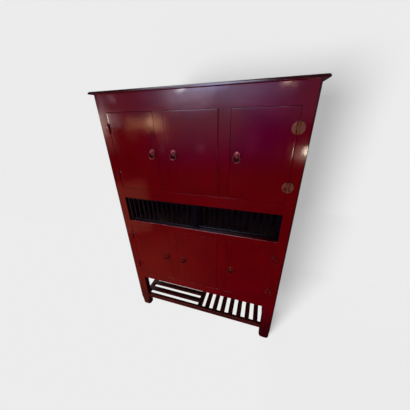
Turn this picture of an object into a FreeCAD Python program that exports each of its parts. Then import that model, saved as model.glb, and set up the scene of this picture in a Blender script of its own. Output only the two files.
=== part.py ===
import FreeCAD
import Part

import math
import os

from FreeCAD import Vector

# A six-door lacquered kitchen cabinet of the Chinese type. Posts and rails are tenoned together. Three doors
# stand above a waist with two sliding lattice panels, three below it, and a lattice shelf lies near the floor.
# Millimetres: X to the right, Y into the cabinet, Z up. The pieces are laid out from the middle of the front
# plane at floor level, and moved at the end so that the origin is the middle of the whole box, on the floor.

# Carcass
BODY_WIDTH = 1150.0
BODY_DEPTH = 500.0
LEG_HEIGHT = 362.0
BOTTOM_RAIL_HEIGHT = 65.0
LOWER_OPENING_HEIGHT = 461.0
WAIST_LOWER_RAIL_HEIGHT = 49.0
WAIST_OPENING_HEIGHT = 183.0
WAIST_UPPER_RAIL_HEIGHT = 70.0
UPPER_OPENING_HEIGHT = 461.0
HEADER_HEIGHT = 92.0
POST_FACE = 57.5
DOOR_STOP_LAP = 17.5
MULLION_WIDTH = 60.0
MULLION_STOP_THICKNESS = 14.0

# Top board
TOP_THICKNESS = 13.0
TOP_SIDE_OVERHANG = 22.0
TOP_FRONT_OVERHANG = 18.0
TOP_BACK_OVERHANG = 8.0
TOP_NOSE_SHARE = 0.42
TOP_UNDERCUT_SHARE = 0.28

# Joinery
TENON_SHOULDER = 12.0
TENON_CHEEK = 6.0
TENON_WALL = 5.0
SIDE_TENON_LENGTH = 20.0
SIDE_TENON_CHEEK = 8.0
MULLION_TENON_LENGTH = 15.0
MULLION_TENON_WIDTH = 30.0
PANEL_TONGUE = 7.0
BOARD_TONGUE = 6.0

# Sides, back and boards
SIDE_SETBACK = 8.0
SIDE_RAIL_THICKNESS = 26.0
BACK_SETBACK = 6.0
BACK_RAIL_THICKNESS = 26.0
WALL_PANEL_SETBACK = 6.0
WALL_PANEL_THICKNESS = 9.0
BOARD_THICKNESS = 16.0
SHELF_RISE = 222.0
SHELF_END_GAP = 1.0
BEARER_WIDTH = 20.0
BEARER_HEIGHT = 22.0

# Doors
DOOR_THICKNESS = 22.0
DOOR_GAP = 1.6
HINGE_GAP = 1.0
DOOR_BACK_GAP = 1.0
STILE_WIDTH = 44.0
DOOR_RAIL_WIDTH = 44.0
DOOR_TENON_LENGTH = 30.0
DOOR_TENON_SHOULDER = 10.0
DOOR_TENON_CHEEK = 7.0
DOOR_PANEL_SETBACK = 1.2
DOOR_PANEL_REVEAL = 0.8
DOOR_PANEL_THICKNESS = 8.0
DOOR_PANEL_TONGUE = 8.0
PIVOT_INSET = 6.0
PIVOT_RELIEF = 2.5
PIVOT_RADIUS = 4.0
PIVOT_HOLD = 12.0
PIVOT_CLEARANCE = 0.08
PIVOT_END_GAP = 0.5

# Round face hinges
HINGE_INSET = 89.0
HINGE_PLATE_RADIUS = 29.0
HINGE_PLATE_THICKNESS = 2.0
KNUCKLE_RADIUS = 5.0
KNUCKLE_CLEARANCE = 0.3
HINGE_BARREL_LENGTH = 54.0
PIN_RADIUS = 2.5
PIN_CLEARANCE = 0.05
PIN_HEAD_RADIUS = 4.0
PIN_HEAD_HEIGHT = 2.0

# Ring pulls
UPPER_PULL_RISE = 14.0
LOWER_PULL_RISE = 5.0
LEFT_PULL_INSET = 32.5
MIDDLE_PULL_INSET = 42.5
RIGHT_PULL_INSET = 36.5
PULL_PLATE_RADIUS = 17.0
PULL_PLATE_EDGE = 1.0
PULL_PLATE_CROWN = 3.0
PULL_BOSS_RADIUS = 8.0
PULL_EYE_WALL = 3.0
RING_RADIUS = 19.0
RING_WIRE_RADIUS = 3.2
RING_STAND = 11.0
RING_PLAY = 0.3

# Waist lattice and its tracks
LATTICE_THICKNESS = 10.0
LATTICE_STILE_WIDTH = 34.0
LATTICE_RAIL_SIGHT = 15.0
LATTICE_OVERLAP = 21.0
LATTICE_BAR_COUNT = 12
LATTICE_BAR_WIDTH = 13.0
LATTICE_BAR_THICKNESS = 8.0
LATTICE_BAR_ROUND = 3.4
LATTICE_BAR_TENON = 6.0
TRACK_SETBACK = 14.0
TRACK_CLEARANCE = 0.3
TRACK_WEB = 5.0
TRACK_BACK_LIP = 5.8
SILL_GROOVE = 5.0
HEAD_GROOVE = 9.0
HEAD_HOLD = 5.0
POCKET_DEPTH = 11.0

# Lattice shelf
BASE_RAIL_BOTTOM = 107.0
BASE_RAIL_HEIGHT = 39.0
BASE_RAIL_DEPTH = 24.0
BASE_RAIL_SETBACK = 4.0
BASE_SIDE_INSET = 38.0
BASE_SIDE_WIDTH = 28.0
BASE_SHOULDER = 8.0
CROSS_RAIL_WIDTH = 33.0
CROSS_RAIL_OFFSET = -8.5
SLAT_THICKNESS = 20.0
SLAT_TENON = 8.0
SLAT_SHOULDER = 4.0
LENGTHWISE_SLAT_WIDTH = 36.0
LENGTHWISE_SLAT_COUNT = 6
DEPTHWISE_SLAT_WIDTH = 36.0
DEPTHWISE_SLAT_COUNT = 7

# Levels up the front, one on the other
LOWER_DOORS_BOTTOM = LEG_HEIGHT + BOTTOM_RAIL_HEIGHT
WAIST_LOWER_RAIL_BOTTOM = LOWER_DOORS_BOTTOM + LOWER_OPENING_HEIGHT
WAIST_BOTTOM = WAIST_LOWER_RAIL_BOTTOM + WAIST_LOWER_RAIL_HEIGHT
WAIST_TOP = WAIST_BOTTOM + WAIST_OPENING_HEIGHT
UPPER_DOORS_BOTTOM = WAIST_TOP + WAIST_UPPER_RAIL_HEIGHT
HEADER_BOTTOM = UPPER_DOORS_BOTTOM + UPPER_OPENING_HEIGHT
BODY_TOP = HEADER_BOTTOM + HEADER_HEIGHT
BASE_TOP = BASE_RAIL_BOTTOM + BASE_RAIL_HEIGHT

# Widths and depths that follow
BODY_HALF = BODY_WIDTH / 2
POST_WIDTH = POST_FACE + DOOR_STOP_LAP
FACE_HALF = BODY_HALF - POST_FACE
INNER_HALF = BODY_HALF - POST_WIDTH
REBATE_DEPTH = DOOR_THICKNESS + DOOR_BACK_GAP
TRACK_WIDTH = LATTICE_THICKNESS + 2 * TRACK_CLEARANCE
POST_DEPTH = TRACK_SETBACK + 2 * TRACK_WIDTH + TRACK_WEB + TRACK_BACK_LIP
TENON_LENGTH = POST_WIDTH - SIDE_SETBACK - SIDE_RAIL_THICKNESS - TENON_WALL
SIDE_INNER_HALF = BODY_HALF - SIDE_SETBACK - SIDE_RAIL_THICKNESS
SIDE_PANEL_OUTER = BODY_HALF - SIDE_SETBACK - WALL_PANEL_SETBACK
SIDE_PANEL_INNER = SIDE_PANEL_OUTER - WALL_PANEL_THICKNESS
BACK_POST_FRONT = BODY_DEPTH - POST_DEPTH
BACK_RAIL_FRONT = BODY_DEPTH - BACK_SETBACK - BACK_RAIL_THICKNESS
DOOR_OPENING_WIDTH = (2 * FACE_HALF - 2 * MULLION_WIDTH) / 3
MULLION_OFFSET = (DOOR_OPENING_WIDTH + MULLION_WIDTH) / 2
HINGE_PROUD = KNUCKLE_RADIUS + KNUCKLE_CLEARANCE
TRACK_HALF = FACE_HALF + POCKET_DEPTH
LATTICE_WIDTH = TRACK_HALF + LATTICE_OVERLAP / 2
RING_EYE_RADIUS = (
    (RING_RADIUS + RING_PLAY) ** 2 - (RING_RADIUS - RING_WIRE_RADIUS) ** 2 + PULL_BOSS_RADIUS ** 2
) / (2 * (RING_RADIUS + RING_PLAY))
PULL_PROUD = RING_STAND + RING_EYE_RADIUS + PULL_EYE_WALL
FRONT_PROUD = max(TOP_FRONT_OVERHANG, PULL_PROUD, HINGE_PROUD + KNUCKLE_RADIUS)
ORIGIN_SHIFT = Vector(0, (FRONT_PROUD - BODY_DEPTH - TOP_BACK_OVERHANG) / 2, 0)

# The four bands of rails, as bottom and height
RAIL_BANDS = {
    "bottom": (LEG_HEIGHT, BOTTOM_RAIL_HEIGHT),
    "waist_lower": (WAIST_LOWER_RAIL_BOTTOM, WAIST_LOWER_RAIL_HEIGHT),
    "waist_upper": (WAIST_TOP, WAIST_UPPER_RAIL_HEIGHT),
    "header": (HEADER_BOTTOM, HEADER_HEIGHT),
}

# The spaces between those rails, as bottom and top
WALL_SPACES = (
    (LOWER_DOORS_BOTTOM, WAIST_LOWER_RAIL_BOTTOM),
    (WAIST_BOTTOM, WAIST_TOP),
    (UPPER_DOORS_BOTTOM, HEADER_BOTTOM),
)

# The two rows of doors, as bottom and top of the opening
DOOR_ROWS = {
    "lower": (LOWER_DOORS_BOTTOM, WAIST_LOWER_RAIL_BOTTOM),
    "upper": (UPPER_DOORS_BOTTOM, HEADER_BOTTOM),
}

# The three columns of doors, as the left side of the opening
DOOR_COLUMNS = {
    "left": -FACE_HALF,
    "middle": -DOOR_OPENING_WIDTH / 2,
    "right": FACE_HALF - DOOR_OPENING_WIDTH,
}


def box(x0, x1, y0, y1, z0, z1):
    """A block between two corners."""
    return Part.makeBox(x1 - x0, y1 - y0, z1 - z0, Vector(x0, y0, z0))


def joined(first, *others):
    """One solid of several that meet."""
    return first.fuse(list(others)).removeSplitter()


def mirrored(shape):
    """The same shape on the other side of the cabinet's middle."""
    return shape.mirror(Vector(0, 0, 0), Vector(1, 0, 0))


def with_mirror(shapes):
    """Pieces of the left side, followed by their twins on the right."""
    return list(shapes) + [mirrored(shape) for shape in shapes]


def upright(x, y, radius, z0, z1):
    """A round rod from one level to another."""
    return Part.makeCylinder(radius, z1 - z0, Vector(x, y, z0), Vector(0, 0, 1))


def hinge_levels(bottom, top):
    """Middles of a door's two hinges."""
    return bottom + HINGE_INSET, top - HINGE_INSET


def pivot_place():
    """Where the middle doors turn, at the right end of their opening: X and Y."""
    x = DOOR_COLUMNS["middle"] + DOOR_OPENING_WIDTH - HINGE_GAP - PIVOT_INSET
    return x, PIVOT_INSET


def top_board():
    """The overhanging top, with a rounded nose above and a smaller round below."""
    board = box(
        -BODY_HALF - TOP_SIDE_OVERHANG,
        BODY_HALF + TOP_SIDE_OVERHANG,
        -TOP_FRONT_OVERHANG,
        BODY_DEPTH + TOP_BACK_OVERHANG,
        BODY_TOP,
        BODY_TOP + TOP_THICKNESS,
    )
    upper = [edge for edge in board.Edges if edge.BoundBox.ZMin > BODY_TOP + TOP_THICKNESS / 2]
    board = board.makeFillet(TOP_NOSE_SHARE * TOP_THICKNESS, upper)
    lower = [edge for edge in board.Edges if edge.BoundBox.ZMax < BODY_TOP + TOP_THICKNESS / 4]
    return board.makeFillet(TOP_UNDERCUT_SHARE * TOP_THICKNESS, lower)


def front_post_blank():
    """The front left post: a leg below, rebated for the doors above, pocketed for the lattice at the waist."""
    post = box(-BODY_HALF, -INNER_HALF, 0, POST_DEPTH, 0, BODY_TOP)
    rebate = box(-FACE_HALF, -INNER_HALF, 0, REBATE_DEPTH, LEG_HEIGHT, BODY_TOP)
    pocket = box(
        -TRACK_HALF,
        -INNER_HALF,
        TRACK_SETBACK,
        POST_DEPTH,
        WAIST_BOTTOM - SILL_GROOVE,
        WAIST_TOP + HEAD_HOLD + TRACK_CLEARANCE,
    )
    return post.cut([rebate, pocket])


def back_post_blank():
    """The back left post."""
    return box(-BODY_HALF, -INNER_HALF, BACK_POST_FRONT, BODY_DEPTH, 0, BODY_TOP)


def front_rail(bottom, height):
    """A rail across the front: it fills the posts' rebates and is tenoned into the posts behind them."""
    top = bottom + height
    face = box(-FACE_HALF, FACE_HALF, 0, REBATE_DEPTH, bottom, top)
    core = box(-INNER_HALF, INNER_HALF, REBATE_DEPTH, POST_DEPTH, bottom, top)
    tenon = box(
        -INNER_HALF - TENON_LENGTH,
        INNER_HALF + TENON_LENGTH,
        REBATE_DEPTH + TENON_CHEEK,
        POST_DEPTH - TENON_CHEEK,
        bottom + TENON_SHOULDER,
        top - TENON_SHOULDER,
    )
    return joined(face, core, tenon)


def back_rail(bottom, height):
    """A rail across the back, tenoned into the back posts."""
    top = bottom + height
    back = BACK_RAIL_FRONT + BACK_RAIL_THICKNESS
    bar = box(-INNER_HALF, INNER_HALF, BACK_RAIL_FRONT, back, bottom, top)
    tenon = box(
        -INNER_HALF - TENON_LENGTH,
        INNER_HALF + TENON_LENGTH,
        BACK_RAIL_FRONT + SIDE_TENON_CHEEK,
        back - SIDE_TENON_CHEEK,
        bottom + TENON_SHOULDER,
        top - TENON_SHOULDER,
    )
    return joined(bar, tenon)


def left_side_rail(bottom, height):
    """A rail along the left side, tenoned into the front and back posts."""
    top = bottom + height
    outer = -BODY_HALF + SIDE_SETBACK
    inner = -SIDE_INNER_HALF
    bar = box(outer, inner, POST_DEPTH, BACK_POST_FRONT, bottom, top)
    tenon = box(
        outer + SIDE_TENON_CHEEK,
        inner - SIDE_TENON_CHEEK,
        POST_DEPTH - SIDE_TENON_LENGTH,
        BACK_POST_FRONT + SIDE_TENON_LENGTH,
        bottom + TENON_SHOULDER,
        top - TENON_SHOULDER,
    )
    return joined(bar, tenon)


def left_side_panel(bottom, top):
    """A panel of the left side, let into the posts and the rails."""
    return box(
        -SIDE_PANEL_OUTER,
        -SIDE_PANEL_INNER,
        POST_DEPTH - PANEL_TONGUE,
        BACK_POST_FRONT + PANEL_TONGUE,
        bottom - PANEL_TONGUE,
        top + PANEL_TONGUE,
    )


def back_panel(bottom, top):
    """A panel of the back, let into the posts and the rails."""
    outer = BODY_DEPTH - BACK_SETBACK - WALL_PANEL_SETBACK
    return box(
        -INNER_HALF - PANEL_TONGUE,
        INNER_HALF + PANEL_TONGUE,
        outer - WALL_PANEL_THICKNESS,
        outer,
        bottom - PANEL_TONGUE,
        top + PANEL_TONGUE,
    )


def floor_board(top):
    """A floor board between the posts, tongued into the front and back rails at its lower half."""
    bottom = top - BOARD_THICKNESS
    tongue_top = bottom + BOARD_THICKNESS / 2
    wide = box(-SIDE_INNER_HALF, SIDE_INNER_HALF, POST_DEPTH, BACK_POST_FRONT, bottom, top)
    deep = box(-INNER_HALF, INNER_HALF, POST_DEPTH, BACK_RAIL_FRONT, bottom, top)
    tongue = box(
        -INNER_HALF,
        INNER_HALF,
        POST_DEPTH - BOARD_TONGUE,
        BACK_RAIL_FRONT + BOARD_TONGUE,
        bottom,
        tongue_top,
    )
    return joined(wide, deep, tongue)


def upper_shelf():
    """The loose shelf of the upper cupboard."""
    half = SIDE_PANEL_INNER - SHELF_END_GAP
    bottom = UPPER_DOORS_BOTTOM + SHELF_RISE
    return box(-half, half, POST_DEPTH, BACK_POST_FRONT, bottom, bottom + BOARD_THICKNESS)


def left_shelf_bearer():
    """The bearer that the shelf lies on, between the left posts."""
    top = UPPER_DOORS_BOTTOM + SHELF_RISE
    return box(
        -SIDE_PANEL_INNER,
        -SIDE_PANEL_INNER + BEARER_WIDTH,
        POST_DEPTH,
        BACK_POST_FRONT,
        top - BEARER_HEIGHT,
        top,
    )


def left_mullion(bottom, top):
    """An upright between two doors, with a stop behind them and tenons into the rails."""
    x = -MULLION_OFFSET
    half = MULLION_WIDTH / 2
    stop_half = half + DOOR_STOP_LAP
    tenon_half = MULLION_TENON_WIDTH / 2
    face = box(x - half, x + half, 0, REBATE_DEPTH, bottom, top)
    stop = box(
        x - stop_half,
        x + stop_half,
        REBATE_DEPTH,
        REBATE_DEPTH + MULLION_STOP_THICKNESS,
        bottom,
        top,
    )
    tenon = box(
        x - tenon_half,
        x + tenon_half,
        TENON_CHEEK,
        REBATE_DEPTH - TENON_CHEEK,
        bottom - MULLION_TENON_LENGTH,
        top + MULLION_TENON_LENGTH,
    )
    return joined(face, stop, tenon)


def tracks(bottom, top):
    """Room for the two grooves that the lattice panels run in."""
    first = TRACK_SETBACK
    second = TRACK_SETBACK + TRACK_WIDTH + TRACK_WEB
    return [box(-TRACK_HALF, TRACK_HALF, y, y + TRACK_WIDTH, bottom, top) for y in (first, second)]


def pivot_sockets():
    """Holes in the rails above and below the middle doors, for the ends of their hinge stiles."""
    x, y = pivot_place()
    radius = PIVOT_RADIUS + PIVOT_CLEARANCE
    depth = PIVOT_HOLD + PIVOT_END_GAP
    holes = []
    for bottom, top in DOOR_ROWS.values():
        holes.append(upright(x, y, radius, bottom - depth, bottom))
        holes.append(upright(x, y, radius, top, top + depth))
    return holes


def base_cross_sides():
    """The left and right faces of the lattice shelf's cross rail."""
    return CROSS_RAIL_OFFSET - CROSS_RAIL_WIDTH / 2, CROSS_RAIL_OFFSET + CROSS_RAIL_WIDTH / 2


def base_long_rail(front):
    """A rail of the lattice shelf from post to post, given where its front face is."""
    back = front + BASE_RAIL_DEPTH
    bar = box(-INNER_HALF, INNER_HALF, front, back, BASE_RAIL_BOTTOM, BASE_TOP)
    tenon = box(
        -INNER_HALF - TENON_LENGTH,
        INNER_HALF + TENON_LENGTH,
        front + TENON_CHEEK,
        back - TENON_CHEEK,
        BASE_RAIL_BOTTOM + BASE_SHOULDER,
        BASE_TOP - BASE_SHOULDER,
    )
    return joined(bar, tenon)


def base_left_side_rail():
    """The left rail of the lattice shelf, tenoned into the posts behind the long rails."""
    outer = -BODY_HALF + BASE_SIDE_INSET
    inner = outer + BASE_SIDE_WIDTH
    reach = BASE_RAIL_SETBACK + BASE_RAIL_DEPTH
    bar = box(outer, inner, POST_DEPTH, BACK_POST_FRONT, BASE_RAIL_BOTTOM, BASE_TOP)
    tenon = box(
        outer + SIDE_TENON_CHEEK,
        inner - SIDE_TENON_CHEEK,
        reach,
        BODY_DEPTH - reach,
        BASE_RAIL_BOTTOM + BASE_SHOULDER,
        BASE_TOP - BASE_SHOULDER,
    )
    return joined(bar, tenon)


def base_cross_rail():
    """The rail that parts the shelf's two bays, tenoned into the long rails."""
    left, right = base_cross_sides()
    front = BASE_RAIL_SETBACK + BASE_RAIL_DEPTH
    back = BODY_DEPTH - front
    bar = box(left, right, front, back, BASE_RAIL_BOTTOM, BASE_TOP)
    tenon = box(
        left + TENON_CHEEK,
        right - TENON_CHEEK,
        front - SLAT_TENON,
        back + SLAT_TENON,
        BASE_RAIL_BOTTOM + BASE_SHOULDER,
        BASE_TOP - BASE_SHOULDER,
    )
    return joined(bar, tenon)


def even_starts(start, end, width, count):
    """Near faces of strips that stand evenly between two faces."""
    gap = (end - start - count * width) / (count + 1)
    return [start + gap + index * (width + gap) for index in range(count)]


def lengthwise_slats():
    """The slats of the left bay, from the side rail to the cross rail."""
    left = -BODY_HALF + BASE_SIDE_INSET + BASE_SIDE_WIDTH
    right = base_cross_sides()[0]
    front = BASE_RAIL_SETBACK + BASE_RAIL_DEPTH
    bottom = BASE_TOP - SLAT_THICKNESS
    slats = []
    for y in even_starts(front, BODY_DEPTH - front, LENGTHWISE_SLAT_WIDTH, LENGTHWISE_SLAT_COUNT):
        back = y + LENGTHWISE_SLAT_WIDTH
        bar = box(left, right, y, back, bottom, BASE_TOP)
        tenon = box(
            left - SLAT_TENON,
            right + SLAT_TENON,
            y + SLAT_SHOULDER,
            back - SLAT_SHOULDER,
            bottom + SLAT_SHOULDER,
            BASE_TOP - SLAT_SHOULDER,
        )
        slats.append(joined(bar, tenon))
    return slats


def depthwise_slats():
    """The slats of the right bay, from the front rail to the back rail."""
    front = BASE_RAIL_SETBACK + BASE_RAIL_DEPTH
    back = BODY_DEPTH - front
    bottom = BASE_TOP - SLAT_THICKNESS
    slats = []
    end = BODY_HALF - BASE_SIDE_INSET - BASE_SIDE_WIDTH
    for x in even_starts(base_cross_sides()[1], end, DEPTHWISE_SLAT_WIDTH, DEPTHWISE_SLAT_COUNT):
        right = x + DEPTHWISE_SLAT_WIDTH
        bar = box(x, right, front, back, bottom, BASE_TOP)
        tenon = box(
            x + SLAT_SHOULDER,
            right - SLAT_SHOULDER,
            front - SLAT_TENON,
            back + SLAT_TENON,
            bottom + SLAT_SHOULDER,
            BASE_TOP - SLAT_SHOULDER,
        )
        slats.append(joined(bar, tenon))
    return slats


def half_plate(x, z, side):
    """Half of a hinge's round face plate, on the left of the barrel for side -1 and on the right for side 1."""
    disc = Part.makeCylinder(
        HINGE_PLATE_RADIUS,
        HINGE_PLATE_THICKNESS,
        Vector(x, 0, z),
        Vector(0, -1, 0),
    )
    edge = KNUCKLE_RADIUS + KNUCKLE_CLEARANCE
    near, far = sorted((x + side * edge, x + side * HINGE_PLATE_RADIUS))
    room = box(
        near,
        far,
        -HINGE_PLATE_THICKNESS,
        0,
        z - HINGE_PLATE_RADIUS,
        z + HINGE_PLATE_RADIUS,
    )
    return disc.common(room)


def knuckle_spans(z):
    """Spans of a hinge's lower, middle and upper knuckles."""
    length = (HINGE_BARREL_LENGTH - 2 * KNUCKLE_CLEARANCE) / 3
    low = z - HINGE_BARREL_LENGTH / 2
    step = length + KNUCKLE_CLEARANCE
    return [(low + index * step, low + index * step + length) for index in range(3)]


def hinge_leaf(x, z, side, knuckles):
    """A half plate with the knuckles that it carries round the pin."""
    leaf = half_plate(x, z, side)
    near, far = sorted((x, x + side * (KNUCKLE_RADIUS + 2 * KNUCKLE_CLEARANCE)))
    for bottom, top in knuckles:
        web = box(near, far, -HINGE_PLATE_THICKNESS, 0, bottom, top)
        leaf = joined(leaf, web, upright(x, -HINGE_PROUD, KNUCKLE_RADIUS, bottom, top))
    length = HINGE_BARREL_LENGTH
    bore = upright(x, -HINGE_PROUD, PIN_RADIUS + PIN_CLEARANCE, z - length / 2, z + length / 2)
    return leaf.cut(bore)


def left_hinge_axis():
    """X of the left doors' hinge pins, in the middle of the gap beside the post."""
    return -FACE_HALF + HINGE_GAP / 2


def post_leaf(z):
    """A hinge's leaf on the left post, with the outer two knuckles."""
    low, _, high = knuckle_spans(z)
    return hinge_leaf(left_hinge_axis(), z, -1, (low, high))


def door_leaf(z):
    """A hinge's leaf on the left door, with the middle knuckle."""
    return hinge_leaf(left_hinge_axis(), z, 1, (knuckle_spans(z)[1],))


def hinge_pin(z):
    """A hinge's pin, with its head above the barrel."""
    top = z + HINGE_BARREL_LENGTH / 2
    shank = upright(left_hinge_axis(), -HINGE_PROUD, PIN_RADIUS, z - HINGE_BARREL_LENGTH / 2, top)
    head = upright(left_hinge_axis(), -HINGE_PROUD, PIN_HEAD_RADIUS, top, top + PIN_HEAD_HEIGHT)
    return joined(shank, head)


def door_box(row, column):
    """A door's outline inside its opening: left, right, bottom and top."""
    bottom, top = DOOR_ROWS[row]
    left = DOOR_COLUMNS[column]
    left_gap = DOOR_GAP if column == "right" else HINGE_GAP
    right_gap = DOOR_GAP if column == "left" else HINGE_GAP
    return left + left_gap, left + DOOR_OPENING_WIDTH - right_gap, bottom + DOOR_GAP, top - DOOR_GAP


def door_panel(row, column):
    """A door's panel: a tongued core with a field that comes nearly flush with the frame."""
    left, right, bottom, top = door_box(row, column)
    left += STILE_WIDTH
    right -= STILE_WIDTH
    bottom += DOOR_RAIL_WIDTH
    top -= DOOR_RAIL_WIDTH
    core = box(
        left - DOOR_PANEL_TONGUE,
        right + DOOR_PANEL_TONGUE,
        DOOR_TENON_CHEEK,
        DOOR_TENON_CHEEK + DOOR_PANEL_THICKNESS,
        bottom - DOOR_PANEL_TONGUE,
        top + DOOR_PANEL_TONGUE,
    )
    field = box(
        left + DOOR_PANEL_REVEAL,
        right - DOOR_PANEL_REVEAL,
        DOOR_PANEL_SETBACK,
        DOOR_TENON_CHEEK,
        bottom + DOOR_PANEL_REVEAL,
        top - DOOR_PANEL_REVEAL,
    )
    return joined(core, field)


def door_rail(left, right, bottom):
    """A door's top or bottom rail, tenoned into its stiles."""
    top = bottom + DOOR_RAIL_WIDTH
    bar = box(left + STILE_WIDTH, right - STILE_WIDTH, 0, DOOR_THICKNESS, bottom, top)
    tenon = box(
        left + STILE_WIDTH - DOOR_TENON_LENGTH,
        right - STILE_WIDTH + DOOR_TENON_LENGTH,
        DOOR_TENON_CHEEK,
        DOOR_THICKNESS - DOOR_TENON_CHEEK,
        bottom + DOOR_TENON_SHOULDER,
        top - DOOR_TENON_SHOULDER,
    )
    return joined(bar, tenon)


def pivot_stile(left, right, bottom, top):
    """The hinge stile of a middle door: its front edge is rounded about the pivots on its ends."""
    x, y = pivot_place()
    reach = DOOR_GAP + PIVOT_HOLD
    bar = box(left, right, 0, DOOR_THICKNESS, bottom, top)
    front = [edge for edge in bar.Edges if edge.BoundBox.XMin > x and edge.BoundBox.YMax < y]
    bar = bar.makeFillet(PIVOT_INSET, front)
    back = [edge for edge in bar.Edges if edge.BoundBox.XMin > x and edge.BoundBox.YMin > DOOR_THICKNESS - y]
    bar = bar.makeChamfer(PIVOT_RELIEF, back)
    pivots = upright(x, y, PIVOT_RADIUS, bottom - reach, top + reach)
    return joined(bar, pivots)


def door_frame(row, column):
    """A door's two stiles and two rails, grooved for its panel."""
    left, right, bottom, top = door_box(row, column)
    rails = [door_rail(left, right, bottom), door_rail(left, right, top - DOOR_RAIL_WIDTH)]
    stiles = [box(left, left + STILE_WIDTH, 0, DOOR_THICKNESS, bottom, top)]
    if column == "middle":
        stiles.append(pivot_stile(right - STILE_WIDTH, right, bottom, top))
    else:
        stiles.append(box(right - STILE_WIDTH, right, 0, DOOR_THICKNESS, bottom, top))
    panel = door_panel(row, column)
    return [stile.cut([panel] + rails) for stile in stiles] + [rail.cut(panel) for rail in rails]


def pull_place(row, column):
    """Where a door's pull is fixed: X and Z of its eye."""
    left, right, bottom, top = door_box(row, column)
    x = {
        "left": right - LEFT_PULL_INSET,
        "middle": left + MIDDLE_PULL_INSET,
        "right": left + RIGHT_PULL_INSET,
    }[column]
    rise = UPPER_PULL_RISE if row == "upper" else LOWER_PULL_RISE
    return x, (bottom + top) / 2 + rise


def pull_boss(row, column):
    """A pull's crowned plate and its domed boss, with the eye that the ring hangs in."""
    x, z = pull_place(row, column)
    dome = PULL_PROUD - PULL_BOSS_RADIUS
    slope = math.sqrt(0.5) * PULL_BOSS_RADIUS

    def at(radius, proud):
        return Vector(x + radius, -proud, z)

    outline = [
        Part.LineSegment(at(0, 0), at(PULL_PLATE_RADIUS, 0)),
        Part.LineSegment(at(PULL_PLATE_RADIUS, 0), at(PULL_PLATE_RADIUS, PULL_PLATE_EDGE)),
        Part.LineSegment(at(PULL_PLATE_RADIUS, PULL_PLATE_EDGE), at(PULL_BOSS_RADIUS, PULL_PLATE_CROWN)),
        Part.LineSegment(at(PULL_BOSS_RADIUS, PULL_PLATE_CROWN), at(PULL_BOSS_RADIUS, dome)),
        Part.Arc(at(PULL_BOSS_RADIUS, dome), at(slope, dome + slope), at(0, PULL_PROUD)),
        Part.LineSegment(at(0, PULL_PROUD), at(0, 0)),
    ]
    face = Part.Face(Part.Wire([edge.toShape() for edge in outline]))
    boss = face.revolve(Vector(x, 0, z), Vector(0, 1, 0), 360)
    eye = Part.makeCylinder(
        RING_EYE_RADIUS,
        2 * PULL_PLATE_RADIUS,
        Vector(x - PULL_PLATE_RADIUS, -RING_STAND, z),
        Vector(1, 0, 0),
    )
    return boss.cut(eye)


def pull_ring(row, column):
    """The ring that hangs in a pull's eye."""
    x, z = pull_place(row, column)
    return Part.makeTorus(
        RING_RADIUS,
        RING_WIRE_RADIUS,
        Vector(x, -RING_STAND, z - RING_RADIUS),
        Vector(0, 1, 0),
    )


def lattice_box(side):
    """A lattice panel's room: left, right, front, back, bottom and top. Side -1 is the left panel, in front."""
    front = TRACK_SETBACK + TRACK_CLEARANCE
    left = -TRACK_HALF + TRACK_CLEARANCE
    if side > 0:
        front += TRACK_WIDTH + TRACK_WEB
        left = TRACK_HALF - TRACK_CLEARANCE - LATTICE_WIDTH
    bottom = WAIST_BOTTOM - SILL_GROOVE + TRACK_CLEARANCE
    return left, left + LATTICE_WIDTH, front, front + LATTICE_THICKNESS, bottom, WAIST_TOP + HEAD_HOLD


def lattice_bars(side):
    """The upright bars of a lattice panel, rounded at their edges."""
    left, right, front, back, _, _ = lattice_box(side)
    bottom = WAIST_BOTTOM + LATTICE_RAIL_SIGHT - LATTICE_BAR_TENON
    top = WAIST_TOP - LATTICE_RAIL_SIGHT + LATTICE_BAR_TENON
    near = (front + back - LATTICE_BAR_THICKNESS) / 2
    starts = even_starts(
        left + LATTICE_STILE_WIDTH,
        right - LATTICE_STILE_WIDTH,
        LATTICE_BAR_WIDTH,
        LATTICE_BAR_COUNT,
    )
    bars = []
    for x in starts:
        bar = box(x, x + LATTICE_BAR_WIDTH, near, near + LATTICE_BAR_THICKNESS, bottom, top)
        corners = [edge for edge in bar.Edges if edge.BoundBox.ZLength > LATTICE_BAR_WIDTH]
        bars.append(bar.makeFillet(LATTICE_BAR_ROUND, corners))
    return bars


def lattice_frame(side):
    """The frame of a lattice panel: two stiles, and two rails that take the bars."""
    left, right, front, back, bottom, top = lattice_box(side)
    inner_left = left + LATTICE_STILE_WIDTH
    inner_right = right - LATTICE_STILE_WIDTH
    bars = lattice_bars(side)
    sill = box(inner_left, inner_right, front, back, bottom, WAIST_BOTTOM + LATTICE_RAIL_SIGHT)
    head = box(inner_left, inner_right, front, back, WAIST_TOP - LATTICE_RAIL_SIGHT, top)
    return [
        box(left, inner_left, front, back, bottom, top),
        box(inner_right, right, front, back, bottom, top),
        sill.cut(bars),
        head.cut(bars),
    ]


def front_rails(boards):
    """The four rails of the front, cut for the mullions, boards, tracks and pivots that enter them."""
    mullions = carcass_mullions()
    sockets = pivot_sockets()
    rails = {}
    for name, (bottom, height) in RAIL_BANDS.items():
        rail = front_rail(bottom, height).cut(mullions + sockets + boards)
        rails[name] = rail
    rails["waist_upper"] = rails["waist_upper"].cut(tracks(WAIST_TOP, WAIST_TOP + HEAD_GROOVE))
    rails["waist_lower"] = rails["waist_lower"].cut(tracks(WAIST_BOTTOM - SILL_GROOVE, WAIST_BOTTOM))
    return rails


def carcass_mullions():
    """The four uprights between the doors."""
    return with_mirror([left_mullion(bottom, top) for bottom, top in DOOR_ROWS.values()])


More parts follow.
